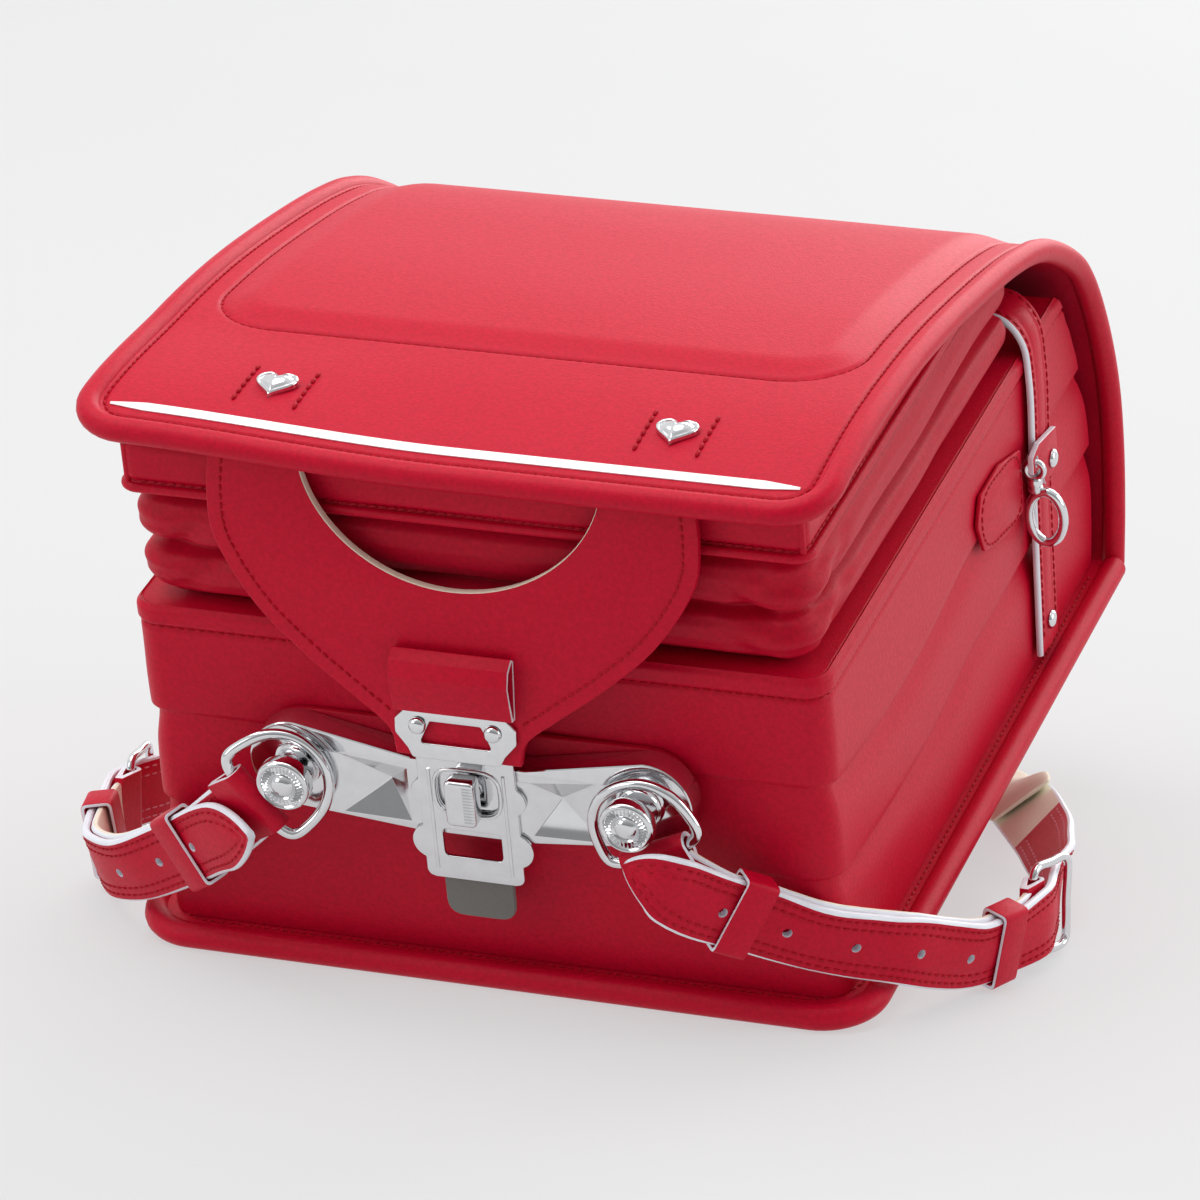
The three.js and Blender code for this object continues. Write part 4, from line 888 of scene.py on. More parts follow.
class RANSEL_OT_trim(bpy.types.Operator):
    """Heart rivets with their sewing and the reflective stripe"""

    bl_idname = "ransel.trim"
    bl_label = "Hearts and stripe"

    def execute(self, context):
        def film(x, side):
            width = 2 * min(1, 0.3 + 0.7 * (STRIPE_HALF - abs(x)) / STRIPE_TAPER)
            return flap_face(x, STRIPE_ALONG + side * width, 0.75 - 0.35 * abs(side))

        columns = ticks((-STRIPE_HALF, -96, 1.5), (-96, 96, 6), (96, STRIPE_HALF, 1.5))
        stripe = skin("reflective_film", columns, [-1, -0.8, 0, 0.8, 1], film)
        apply(stripe, "SOLIDIFY", thickness=0.5 * MM, offset=-1)
        dress(stripe, REFLECTOR, replaces=["reflective_stripe"])
        for name, side in (("left", -1), ("right", 1)):
            heart = heart_rivet(f"heart_{name}", side * HEART_ACROSS, HEART_ALONG)
            dress(heart, CHROME, replaces=[f"heart_rivet_{name}"], angle=50)
            rows = [
                sewn(lambda way, x=side * HEART_ACROSS + hand * 10.5: on_face(x, way, 0.35), 21, 45, 4)
                for hand in (-1, 1)
            ]
            stitches(f"heart_sewing_{name}", rows, thread=0.75, length=3.6)
        return {"FINISHED"}


HEART_RINGS = [
    (1, 0), (1, 1.2), (0.97, 1.65), (0.9, 1.85), (0.84, 1.7), (0.8, 1.35), (0.75, 1.4), (0.68, 1.9),
    (0.55, 2.5),
    (0.38, 2.85), (0.2, 3.05), (0.02, 3.1),
]


def heart_rivet(name, across, along):
    """A domed heart with a raised rim, as rings that shrink toward its middle."""
    point, normal, travel = flap_at(along)
    base = point + normal * (FLAP_SHEET / 2 + GAP + flap_warp(across, along))

    def place(turn, ring):
        scale, height = HEART_RINGS[ring]
        x = 16 * math.sin(turn) ** 3
        y = 13 * math.cos(turn) - 5 * math.cos(2 * turn) - 2 * math.cos(3 * turn) - math.cos(4 * turn)
        spot = base + travel * (y * HEART_SCALE * scale + 0.9) + normal * height
        return bag(across + x * HEART_SCALE * scale, spot.y, spot.z)

    turns = [2 * math.pi * i / 72 for i in range(73)]
    return skin(name, turns, range(len(HEART_RINGS)), place, closed=True, capped=True)


def full_line(half, near, corner, reach, step=7):
    """Stations along a U of wall: place across and along, outward direction, distance from the corner."""
    side = near + corner
    left = [(-half, way, -1, 0, way - side) for way in spaced(reach, side, step)[:-1]]
    for i in range(11):
        turn = i / 10 * math.pi / 2
        c, s = math.cos(turn), math.sin(turn)
        left.append((-half + corner - corner * c, side - corner * s, -c, -s, 0))
    front = [
        (x, near, 0, -1, min(x + half - corner, half - corner - x))
        for x in spaced(-half + corner, half - corner, 5)[1:-1]
    ]
    return left + front + [(-x, y, -nx, ny, far) for x, y, nx, ny, far in reversed(left)]


UPPER_CREASE = 87
LOWER_CREASE = 52
CREASE_ABOVE = 1
CREASE_BELOW = 9
BODY_SAG = 6
BODY_SEAM = 120.6
BODY_FAR = 284
BODY_TRUE = 100
FLAP_CLEAR = 10


def pressed(rise, middle):
    """Share of a crease's depth at a height: steep over it, long and soft under it."""
    reach = CREASE_ABOVE if rise > middle else CREASE_BELOW
    return math.exp(-((rise - middle) / reach) ** 2)


def sag(along, rise):
    """How far the leather at a height hangs down, most between the creases and in the middle of a side."""
    dip = math.sin(math.pi * min(max(2 * along / BAG_LENGTH, 0), 1))
    return BODY_SAG * dip * smooth(BODY_START, 45, rise) * smooth(118, 92, rise)


def body_inset(station, rise):
    """How far in from the outline the wall lies: two creases, a seam, a hem and some slack."""
    x, y, nx, *_ = station
    on_side = abs(nx)
    depth = size("crease")
    upper = depth * (0.45 + 0.55 * on_side) * pressed(rise, UPPER_CREASE)
    lower = depth * (0.12 + 0.88 * on_side) * pressed(rise, LOWER_CREASE)
    seam = 0.8 * math.exp(-((rise - BODY_SEAM) / 0.8) ** 2)
    hem = -0.7 * smooth(121, 122.5, rise) + 1.6 * smooth(125.6, BODY_DEPTH, rise) ** 2
    slack = 0.5 * noise.noise(Vector((x / 45, y / 60, rise / 30)))
    return upper + lower + seam + hem + slack * smooth(8, 30, rise) * smooth(118, 100, rise)


def body_reach(rise):
    """How far along the wall runs under the flap at a height."""
    return flap_reach(rise + 5) - FLAP_CLEAR


def wall_row(line, rise, inset_of):
    """Stitches round a U of wall; inset_of(station) gives how far in from the outline they lie."""
    def seam(way):
        index = min(int(way), len(line) - 2)
        station = [p + (q - p) * (way - index) for p, q in zip(line[index], line[index + 1])]
        x, y, nx, ny, _ = station
        inset = inset_of(station)
        return bag(x - nx * inset, y - ny * inset, rise), TURN @ Vector((nx, ny, 0)).normalized()

    return even(seam, 4, len(line) - 5, size("stitch"))


def lid(name, half, near, corner, reach, low, high):
    """A flat leather plate that closes a U of wall."""
    outline = [(x, y) for x, y, *_ in full_line(half, near, corner, reach)]
    return plate(name, [outline], high - low, lambda x, y, z: bag(x, y, low + z), bevel=0.7)


class RANSEL_OT_body(bpy.types.Operator):
    """Main compartment with its pressed creases, hem and seam"""

    bl_idname = "ransel.body"
    bl_label = "Main compartment"

    def execute(self, context):
        rises = ticks(
            (BODY_START, 40, 4), (40, 49, 1.2), (49, 54, 0.4), (54, 74, 3), (74, 84, 1.5), (84, 89, 0.4),
            (92, 117, 4), (117, BODY_DEPTH, 0.6))
        line = full_line(BODY_WIDTH / 2, 0, BODY_EDGE, BODY_FAR, 4)

        def place(index, rise):
            x, y, nx, ny, far = line[index]
            if y >= BODY_TRUE:
                y = BODY_TRUE + (y - BODY_TRUE) * (body_reach(rise) - BODY_TRUE) / (BODY_FAR - BODY_TRUE)
            inset = body_inset((x, y, nx, ny, far), rise)
            return bag(x - nx * inset, y - ny * inset, rise - sag(y, rise))

        wall = skin("body_wall", range(len(line)), rises, place)
        apply(wall, "SOLIDIFY", thickness=2.2 * MM, offset=-1)
        dress(wall, LEATHER, replaces=["main_body"])
        cover = lid(
            "body_front", BODY_WIDTH / 2 - 1.4, 1.4, BODY_EDGE - 1, body_reach(BODY_DEPTH), 126.2, 128.3)
        dress(cover, LEATHER)
        seam = wall_row(line, BODY_SEAM, lambda station: body_inset(station, BODY_SEAM) - 0.2)
        stitches("body_seam", [seam])
        return {"FINISHED"}


def even(place, start, end, pitch):
    """Stitch places at even distances along a line whose own steps are uneven."""
    fine = [place(start + (end - start) * i / 3000) for i in range(3001)]
    row, last = [fine[0]], fine[0][0]
    for spot in fine:
        if (spot[0] - last).length >= pitch * MM:
            row.append(spot)
            last = spot[0]
    return row


GUSSET_START = 128.8
GUSSET_DEPTH = 42
GUSSET_REACH = 214
# The folds from the compartment up to the pocket: share of the gusset's depth, and how far in they lie
GUSSET = [
    (0, 12), (0.05, 8), (0.14, 3), (0.25, 0.8), (0.34, 0.3), (0.43, 1.6), (0.475, 5.5), (0.5, 7),
    (0.525, 5.2),
    (0.57, 1.6), (0.66, 0.2), (0.78, 0.2), (0.88, 1.6), (0.95, 5), (1, 9.5),
]


def gusset_inset(share):
    """How far in the gusset lies at a share of its depth."""
    for (a, low), (b, high) in zip(GUSSET, GUSSET[1:]):
        if share <= b:
            return low + (high - low) * (smooth(a, b, share) + (share - a) / (b - a)) / 2
    return GUSSET[-1][1]


class RANSEL_OT_gusset(bpy.types.Operator):
    """Folded gusset with tucks at its corners"""

    bl_idname = "ransel.gusset"
    bl_label = "Gusset"

    def execute(self, context):
        line = full_line(POCKET_WIDTH / 2, 0, BODY_CORNER, GUSSET_REACH)
        shares = spaced(0, 1, 0.0175)

        def place(index, share):
            x, y, nx, ny, far = line[index]
            rise = GUSSET_START + share * GUSSET_DEPTH
            body = math.sin(math.pi * share)
            crumple = math.exp(-((far - 8) / 13) ** 2) * body
            fold = math.sin(share * 15 - far * 0.3 + (2.1 if x > 0 else 0.4))
            slack = noise.noise(Vector((x / 34, y / 34, rise / 14)))
            inset = gusset_inset(share) + 1.92 * crumple * (fold + 0.5) ** 2 + 0.8 * slack * body
            if abs(nx) > 0.5:
                inset += 0.5 * body * noise.noise(Vector((9, y / 40, rise / 9)))
            inset = max(inset, -0.6)
            lift = 1.4 * body * noise.noise(Vector((x / 45, y / 60, 4)))
            return bag(x - nx * inset, y - ny * inset, rise + lift)

        wall = skin("gusset_folds", range(len(line)), shares, place)
        apply(wall, "SOLIDIFY", thickness=1.4 * MM, offset=-1)
        apply(wall, "SUBSURF", levels=1, render_levels=1)
        dress(wall, CREASED, replaces=["bellows"], angle=60)
        return {"FINISHED"}


POCKET_CORNER = 5
POCKET_INSET = 0.7
POCKET_REACH = 158
POCKET_SLOPE = 7
POCKET_SEAM = 4.2


def pocket_drop(along):
    """How much lower the pocket's front lies toward its far end."""
    return POCKET_SLOPE * smooth(40, POCKET_REACH, along)


class RANSEL_OT_pocket(bpy.types.Operator):
    """Front pocket with piped edges"""

    bl_idname = "ransel.pocket"
    bl_label = "Pocket"

    def execute(self, context):
        line = full_line(POCKET_WIDTH / 2 - POCKET_INSET, POCKET_INSET, POCKET_CORNER, POCKET_REACH)
        end = POCKET_START + POCKET_DEPTH
        rises = ticks((POCKET_START, POCKET_START + 6, 0.7), (POCKET_START + 6, end, 1.5))

        def place(index, rise):
            x, y, nx, ny, _ = line[index]
            share = (rise - POCKET_START) / POCKET_DEPTH
            inset = 0.9 * math.exp(-((rise - POCKET_START - POCKET_SEAM) / 0.9) ** 2)
            inset += 1.2 * smooth(0.93, 1, share) + 0.4 * noise.noise(Vector((x / 50, y / 50, rise / 20)))
            return bag(x - nx * inset, y - ny * inset, rise - pocket_drop(y) * share)

        wall = skin("pocket_wall", range(len(line)), rises, place)
        apply(wall, "SOLIDIFY", thickness=1.6 * MM, offset=-1)
        dress(wall, LEATHER, replaces=["pocket"])
        dress(lid("pocket_back", POCKET_WIDTH / 2 - 2, 2, POCKET_CORNER, 156, 171.2, 172.8), LEATHER)
        outline = [(x, y) for x, y, *_ in full_line(POCKET_WIDTH / 2 - 1.5, 1.5, POCKET_CORNER, 157)]
        top = plate(
            "pocket_front", [outline], 1.8, lambda x, y, z: bag(x, y, end - 1.9 + z - pocket_drop(y)),
            bevel=0.6)
        apply(top, "TRIANGULATE")
        dress(top, LEATHER)
        piping = [bag(x + nx * 0.2, y + ny * 0.2, POCKET_START + 1.9) for x, y, nx, ny, _ in line]
        dress(strand("pocket_piping", piping, 1.7), LEATHER)
        edge = POCKET_CORNER * (1 - math.sqrt(0.5)) + 0.9
        for name, side in (("left", -1), ("right", 1)):
            x = side * (POCKET_WIDTH / 2 - edge)
            cord = [bag(x, edge, POCKET_START + rise) for rise in spaced(2, POCKET_DEPTH - 1, 2)]
            dress(strand(f"pocket_corner_{name}", cord, 1.2), LEATHER)
        stitches("pocket_seam", [wall_row(line, POCKET_START + POCKET_SEAM, lambda station: 0.5)])
        return {"FINISHED"}


def panel_edge():
    """Middle line of the back panel's rope: in from the far end on the right, round the front and back on
    the left."""
    end = FLAP.places[-1].y - FLAP_ROPE - 3 * GAP
    inner = PANEL_WIDTH / 2 - PANEL_ROPE
    near = PANEL_ROPE - PANEL_LIP
    bend = PANEL_CORNER - PANEL_ROPE
    right = [(inner, y) for y in spaced(end, near + bend, 8)]
    for i in range(1, 12):
        turn = i / 12 * math.pi / 2
        right.append((inner - bend + bend * math.cos(turn), near + bend - bend * math.sin(turn)))
    front = [(x, near) for x in spaced(inner - bend, 0, 8)]
    half = right + front
    return half + [(-x, y) for x, y in reversed(half[:-1])]


class RANSEL_OT_back(bpy.types.Operator):
    """Back panel with its rope and a seam on each face"""

    bl_idname = "ransel.back"
    bl_label = "Back panel"

    def execute(self, context):
        edge = panel_edge()
        top = PANEL_ROPE + PANEL_SHEET / 2
        low = PANEL_ROPE - PANEL_SHEET / 2
        sheet = plate("back_sheet", [edge], PANEL_SHEET, lambda x, y, z: bag(x, y, low + z), bevel=0.4)
        dress(sheet, LEATHER, replaces=["back_panel"])
        rope = strand("back_rope", [bag(x, y, PANEL_ROPE) for x, y in edge], PANEL_ROPE, sides=6)
        dress(rope, LEATHER)
        rows = []
        for rise, side in ((top + 0.15, 1), (low - 0.15, -1)):
            line = Line([(x * (1 - 5.6 / 132), y + 5.6 * smooth(20, 0, y), 0) for x, y in edge], per=2)

            def seam(way, line=line, rise=rise, side=side):
                point, _ = line.at(way)
                return bag(point.x, point.y, rise), TURN @ Vector((0, 0, side))

            rows.append(sewn(lambda way: seam(way / line.length), 12, line.length - 12, size("stitch")))
        stitches("back_seam", rows)
        return {"FINISHED"}


def on_front(start):
    """Lays an outline on the bottom face, its x and y as width and height."""
    return lambda x, y, z: bag(x, -(start + z), y)


def leaned(x, up, out):
    """A place on the leaning tab: across, up from its foot, and out from its back."""
    c, s = math.cos(TAB_LEAN), math.sin(TAB_LEAN)
    return bag(x, up * s - out * c - TAB_START - 0.1, LOCK_RISE + TAB_FOOT + out * s + up * c)


def joined(name, pieces):
    """Joins pieces into one under a name."""
    activate(pieces[0])
    for piece in pieces:
        piece.select_set(True)
    bpy.ops.object.join()
    pieces[0].name = name
    return pieces[0]


def offset_row(line, inset, start, end, normal, place, pitch):
    """Stitches along a flat line, moved to its left by an inset."""
    def spot(way):
        point, along = line.at(way / line.length)
        return place(point.x - along.y * inset, point.y + along.x * inset), normal
    return sewn(spot, start, end, pitch)


TAB_SIDES = [
    (0, 0), (0.03, 0.08), (0.2, 0.17), (0.47, 0.3), (0.73, 0.45), (0.9, 0.6), (0.985, 0.72), (1, 0.85),
    (0.98, 1),
]
HOLE_WIDTH = 103
HOLE_HEIGHT = 41


class RANSEL_OT_tab(bpy.types.Operator):
    """Flat tab with curved sides from the flap to the lock, with its folded loop"""

    bl_idname = "ransel.tab"
    bl_label = "Front tab"

    def execute(self, context):
        neck = TAB_NECK / 2
        flare = TAB_WIDTH / 2 - neck
        side = Line([(neck + half * flare, rise * TAB_HEIGHT, 0) for half, rise in TAB_SIDES])
        right = [side.at(i / 48)[0].to_2d() for i in range(49)]
        hole = []
        for i in range(49):
            turn = 2 * math.pi - i / 48 * math.pi
            rise = TAB_HEIGHT + 1 + (HOLE_HEIGHT + 1) * math.sin(turn) * abs(math.sin(turn)) ** 0.1
            hole.append(Vector((HOLE_WIDTH / 2 * math.cos(turn), min(rise, TAB_HEIGHT))))
        left = [Vector((-p.x, p.y)) for p in reversed(right)]

        def rim(point):
            across, rise = point.x, TAB_HEIGHT + 1 - point.y
            return (across / (HOLE_WIDTH / 2 + 2)) ** 2 + (rise / (HOLE_HEIGHT + 3)) ** 2 < 1.12

        tab = plate("tab", [right + hole + left], TAB_THICK, leaned, bevel=0.6, rim=rim)
        dress(tab, LEATHER, LINING, replaces=["front_tab"])
        facing = (leaned(0, 0, 1) - leaned(0, 0, 0)).normalized()
        rows = []
        for hand in (-1, 1):
            rows.append(offset_row(
                side, 5, 12, side.length - 2, facing,
                lambda x, y, hand=hand: leaned(hand * x, y, TAB_THICK + 0.1), size("stitch")))
        stitches("tab_seam", rows)
        outer = [(0.45, 0), (0.75, 0.3), (1, 0.6), (0.85, 0.85), (0.35, 1)]
        depth, height, wall = 7, 22, 1.2

        def loop(shrink):
            high = height - 2 * shrink
            front = [(max(d * depth - shrink, shrink + 0.1), shrink + rise * high) for d, rise in outer]
            return [(shrink, shrink), *front, (shrink, shrink + 0.93 * high)]

        fold = plate(
            "tab_loop", [rounded(loop(0), 0.5, 3), rounded(loop(wall), 0.3, 2)], 41,
            lambda x, y, z: leaned(z - 20.5, 16.8 + y, TAB_THICK + GAP + x), bevel=0.25, flat=True)
        dress(fold, LEATHER, EDGE_PAINT, replaces=["tab_fold"])
        return {"FINISHED"}


def base_outline():
    """Outline of the gull-wing bar, clockwise from its upper left."""
    points = [(-20, 90), (20, 90)]
    for side in (1, -1):
        for i in range(21):
            turn = side * math.pi / 2 - i / 20 * math.pi * 1.02
            points.append((side * (POST_SPREAD / 2 + 1.5) + 16 * math.cos(turn), 81.95 + 16 * math.sin(turn)))
        if side > 0:
            points += [(20, 62), (-20, 62)]
    return points


POST_PROFILE = [
    (0, 0), (8.3, 0), (7.6, 0.3), (6.9, 1.2), (6.45, 2.2), (6.3, 3), (6.3, 9.5), (6.6, 9.9), (8.8, 10.2),
    (9.3, 10.7), (9.3, 14.1), (9.1, 14.9), (8.6, 15.4), (8, 15.6), (7.6, 15.35), (7.3, 15), (6.9, 15.05),
    (6.1, 15.05), (5.3, 15.05), (4.9, 15.2), (4.5, 14.8), (4.2, 14.6), (3.9, 15.1), (3.2, 16), (2.2, 16.55),
    (1.1, 16.8), (0, 16.9),
]
RIVET_PROFILE = [(0, 0), (1, 0), (1, 0.12), (0.97, 0.3), (0.84, 0.62), (0.62, 0.84), (0.35, 0.96), (0, 1)]


def rivet(name, radius, height, place, node):
    """A domed stud."""
    dome = turned(name, [(r * radius, z * height) for r, z in RIVET_PROFILE], place)
    return dress(dome, CHROME, replaces=[node])


def hasp_outline():
    """Plate with two scallops on each side."""
    right = []
    for rise in spaced(46, 100, 0.5):
        end = min(rise - 46, 100 - rise)
        half = 17 if end >= 3 else 14 + math.sqrt(9 - (3 - end) ** 2)
        for middle, radius in ((59.5, 6.5), (78.4, 5.4)):
            if abs(rise - middle) < radius:
                half = max(half, 14.6 + math.sqrt(radius ** 2 - (rise - middle) ** 2))
        right.append((half, rise))
    return right + [(-x, y) for x, y in reversed(right)]


class RANSEL_OT_lock(bpy.types.Operator):
    """Turn lock: winged bar, ring posts, hasp, plate and knob"""

    bl_idname = "ransel.lock"
    bl_label = "Lock"

    def execute(self, context):
        outline = box(147, 37, 15, 79)
        patch = plate("lock_backing", [outline], 2.5, on_front(GAP), bevel=0.8)
        dress(patch, CREASED, replaces=["lock_patch"])
        base = plate("lock_wings", [base_outline()], 9.9, on_front(3.1), bevel=0.9)
        for side in (-1, 1):
            outer = [(20.5, -11.5), (46.5, -11), (20.5, 10.5), (46.5, 13.5)]
            deep = [(29.5, 1), (30.5, 1), (29.5, 2), (30.5, 2)]
            corners = [
                bag(side * x, -out, LOCK_RISE - 4 + z)
                for out, spots in ((BASE_FRONT + 0.6, outer), (BASE_FRONT - 6, deep)) for x, z in spots
            ]
            carve(base, block("facet", corners))
        apply(base, "BEVEL", width=0.25 * MM, segments=2, limit_method="ANGLE", angle_limit=math.radians(35))
        dress(base, CHROME, replaces=["lock_base"], angle=25)
        for name, side in (("left", -1), ("right", 1)):
            def ribbed(x, y, z, side=side):
                reach = math.hypot(x, y)
                if 5.2 < reach < 7.2 and z > 14:
                    z += 0.32 * math.cos(30 * math.atan2(y, x))
                return bag(side * POST_SPREAD / 2 + x, -(HASP_START + z), POST_RISE + y)
            post = turned(f"post_{name}", POST_PROFILE, ribbed, steps=120)
            dress(post, CHROME, replaces=[f"ring_post_{name}"])
        hasp = plate("hasp_plate", [hasp_outline(), box(21, 15.4, 6, LOCK_RISE), box(20.5, 10.5, 2, 60)], 1.5,
                     on_front(HASP_START), bevel=0.35)
        front = HASP_START + 1.5
        details = [hasp]
        for hand in (-1, 1):
            path = [bag(hand * 13, -front, rise) for rise in spaced(49.5, 88, 3)]
            details.append(strand("hasp_rib", path, 0.6))
        collar = [bag(p[0], -front, p[1]) for p in box(23, 17.4, 7, LOCK_RISE)]
        details.append(strand("hasp_collar", collar, 0.7, closed=True))
        dress(joined("hasp_plate", details), CHROME, replaces=["hasp"])
        start = front + 0.9
        head = plate("knob_block", [box(10.5, 17, 2.2, LOCK_RISE)], 6.8, on_front(start), bevel=1.3)
        parts = [head]
        for rise in spaced(-6.4, 6.4, 1.16):
            path = [
                bag(x, -(start + 6.75 - 0.35 * max(x - 3.4, 0) ** 2), LOCK_RISE + rise)
                for x in spaced(1.4, 4.8, 0.6)
            ]
            parts.append(strand("knurl", path, 0.45, sides=1))
        shaft = turned("knob_shaft", [(0, 0), (4, 0), (4, 4.2), (0, 4.2)],
                       lambda x, y, z: bag(x, -(HASP_START + z), LOCK_RISE + y), steps=32)
        parts.append(shaft)
        dress(joined("knob_block", parts), CHROME, body="knob", replaces=["lock_knob"])
        tongue = plate("tongue", [box(24, 22, 6, 41.7)], 2, on_front(11), bevel=0.5)
        dress(tongue, FELT, replaces=["felt_tongue"])
        corners = [(x * 21, y * 16.5) for x, y in (
            (-0.72, 0), (0.72, 0), (0.8, 0.2), (1, 0.5), (1, 0.8), (0.84, 1), (-0.84, 1), (-1, 0.8),
            (-1, 0.5), (-0.8, 0.2))]
        window = [(-12.5, 5.4), (12.5, 5.4), (8.8, 13.2), (-8.8, 13.2)]
        cover = plate("tab_plate", [rounded(corners, 1.6), rounded(window, 1)], 1.5,
                      lambda x, y, z: leaned(x, y, TAB_THICK + GAP + z), bevel=0.4)
        dress(cover, CHROME, replaces=["lock_plate"])
        for name, side in (("left", -1), ("right", 1)):
            rivet(f"tab_rivet_{name}", 3, 2, lambda x, y, z, side=side: leaned(
                side * 13.02 + x, 11.55 + y, TAB_THICK + 1.5 + 2 * GAP + z), f"plate_rivet_{name}")
        return {"FINISHED"}


# Straps are laid out in the upright directions; rows are shares of the way from the ring's bar to the buckle
SEAT = Vector((0, PANEL_LIP * math.cos(TILT), PANEL_LIP * math.sin(TILT) - DROP))
RING_ALONG = -19.314
RING_POSES = {
    "right": (1, Vector((0.427, 0, -0.904)), Vector((0.904, 0, 0.427)), 15.1),
    "left": (-1, Vector((-0.74, -0.32, -0.57)), Vector((-0.594, 0, 0.805)), 15.6),
}
RING_OUTLINE = [
    (-0.39, 0), (0, 0), (0.39, 0), (0.49, 0.09), (0.5, 0.35), (0.43, 0.68), (0.25, 0.92), (0, 1),
    (-0.25, 0.92),
    (-0.43, 0.68), (-0.5, 0.35), (-0.49, 0.09),
]
LEAVES = {"right": Vector((3.5, 0.5, -6)), "left": Vector((-3.5, 1.5, -3))}
BUCKLES = {
    "right": (1.205, 0.3, 18.5, Vector((0.3, 0.954, 0))),
    "left": (1.235, 0.25, 23, Vector((-0.1, 0.995, 0))),
}
POINTED = {
    "right": [
        (-0.06, -0.13, 0, (8, -1, 21)), (0.075, -0.125, 0.12, (8, -2, 22)), (0.175, -0.05, 0.29, (8, 3, 22)),
        (0.325, 0.08, 0.48, (10, 2, 20)), (0.51, 0.185, 0.66, (9, -3, 22)), (0.68, 0.315, 0.79, (5, -3.4, 23)),
        (0.775, 0.4, 0.86, (2, -4, 23)), (0.85, 0.52, 0.97, (2, -5, 23)), (0.925, 0.65, 1.06, (4, -6, 23)),
        (0.99, 0.78, 1.06, (4, -4, 24)),
    ],
    "left": [
        (-0.02, -0.08, 0.22, (-11, 2, 22)), (0.17, 0.03, 0.36, (-12, 1, 22)), (0.41, 0.2, 0.68, (-14, -1, 20)),
        (0.665, 0.33, 0.97, (-10.7, -5.5, 21.5)), (0.845, 0.46, 1.07, (-9, -3, 23)),
        (0.965, 0.66, 1.1, (-5, -4, 24)),
        (1.02, 0.84, 1.06, (-2, -1, 24)),
    ],
}
UNDER_PANEL = [
    (1.17, 0.445, 20, (0.45, 0, 0.88)), (1.07, 0.55, 20, (0.7, 0, 0.7)), (0.93, 0.665, 19, (0.85, 0, 0.52)),
    (0.84, 0.76, 11, (0.93, 0.05, 0.25)), (0.77, 0.83, 4.4, (0.9, 0.3, 0.04)), (0.7, 0.875, 1, (0.8, 0.6, 0)),
    (0.58, 0.9, 1, (0.3, 0.95, 0)), (0.46, 0.9, 1, (0, 1, 0)), (0.36, 0.895, 10, (0, 1, 0.05)),
]


class Band:
    """A strap's middle line with the direction of its width; on the floor it lies flat."""

    def __init__(self, rows, on_floor=False):
        points = [Vector(p) for p, _ in rows]
        self.line = Line(points)
        self.length = self.line.length
        self.widths = [Vector(w).normalized() for _, w in rows]
        self.marks = [0.0]
        for a, b in zip(points, points[1:]):
            self.marks.append(self.marks[-1] + (b - a).length)
        self.on_floor = on_floor

    def row_share(self, row):
        return self.marks[row] / self.marks[-1]

    def at(self, share):
        """Place, direction, width and normal at a share of the length."""
        point, along = self.line.at(share)
        low = STRAP_REST
        if self.on_floor and point.z < low:
            point = Vector((point.x, point.y, low))
            along = Vector((along.x, along.y, 0)).normalized()
        way = share * self.marks[-1]
        last = len(self.marks) - 1
        after = max(1, next((i for i, mark in enumerate(self.marks) if mark >= way - 1e-6), last))
        width = self.widths[after - 1].lerp(
            self.widths[after], smooth(self.marks[after - 1], self.marks[after], way))
        if self.on_floor:
            width.z *= smooth(low, 4 * low, point.z)
        width = (width - along * width.dot(along)).normalized()
        return point, along, width, along.cross(width)


STRAP_REST = 1.5


def section(half, thick, sewn_at=(2.8, 5.6)):
    """Half-round edges, sewn grooves and a soft middle, as (across, out) round a strap."""
    reach = min(1.1, 0.4 * half)

    def top(across):
        from_edge = half - abs(across)
        groove = sum(-0.3 * math.exp(-((from_edge - at) / 0.6) ** 2) for at in sewn_at)
        return thick / 2 + groove + 0.3 * smooth(5.6, 11, from_edge)

    from_edges = (reach, 2, 2.8, 3.6, 4.8, 5.6, 6.4, 8.5)
    right = [half - min(f, half) for f in from_edges]
    over = right + [0] + [-x for x in reversed(right)]
    points = [(x, top(x)) for x in over]
    edge = [(half - 0.3, 0.3), (half, 0.08), (half, -0.08), (half - 0.3, -0.35)]
    points += [(-x, share * thick) for x, share in edge]
    points += [(x, -thick / 2) for x in (-half + reach, -half * 0.4, half * 0.4, half - reach)]
    points += [(x, share * thick) for x, share in reversed(edge)]
    return points


TOP_FACES = 16


def strap_finish(two_tone, lined_from=0):
    """Leather over the face, paint on the edges, lining beneath; a folded strap shows lining in its edges
    too."""
    def finish(k, j):
        if j < TOP_FACES:
            return 0
        around = j - TOP_FACES
        if 5 <= around <= 7:
            return 2 if k >= lined_from else 0
        inner = around in (2, 3, 4, 8, 9, 10)
        return 2 if two_tone and inner else 1
    return finish


def sweep(name, band, shares, half_at, thick, facing, lay, finish=None, shift=0.0):
    """A strap swept along a band."""
    frames = [band.at(share) for share in shares]
    rings = [section(half_at(share * band.length), thick) for share in shares]

    def place(k, j):
        point, _, width, normal = frames[k]
        across, out = rings[k][j % len(rings[k])]
        return lay(*(point + width * across + normal * (shift + facing * out)))

    return skin(
        name, range(len(shares)), range(len(rings[0]) + 1), place, closed=True, capped=True, finish=finish)


def strap_rows(band, start, end, across, lift, facing, lay, pitch):
    """A row of stitches along a band; across(way) gives its place on the strap's width."""
    def spot(way):
        point, _, width, normal = band.at(way / band.length)
        place = point + width * across(way) + normal * facing * lift
        away = lay(*(point + normal * facing)) - lay(*point)
        return lay(*place), away.normalized()
    return sewn(spot, start, end, pitch)


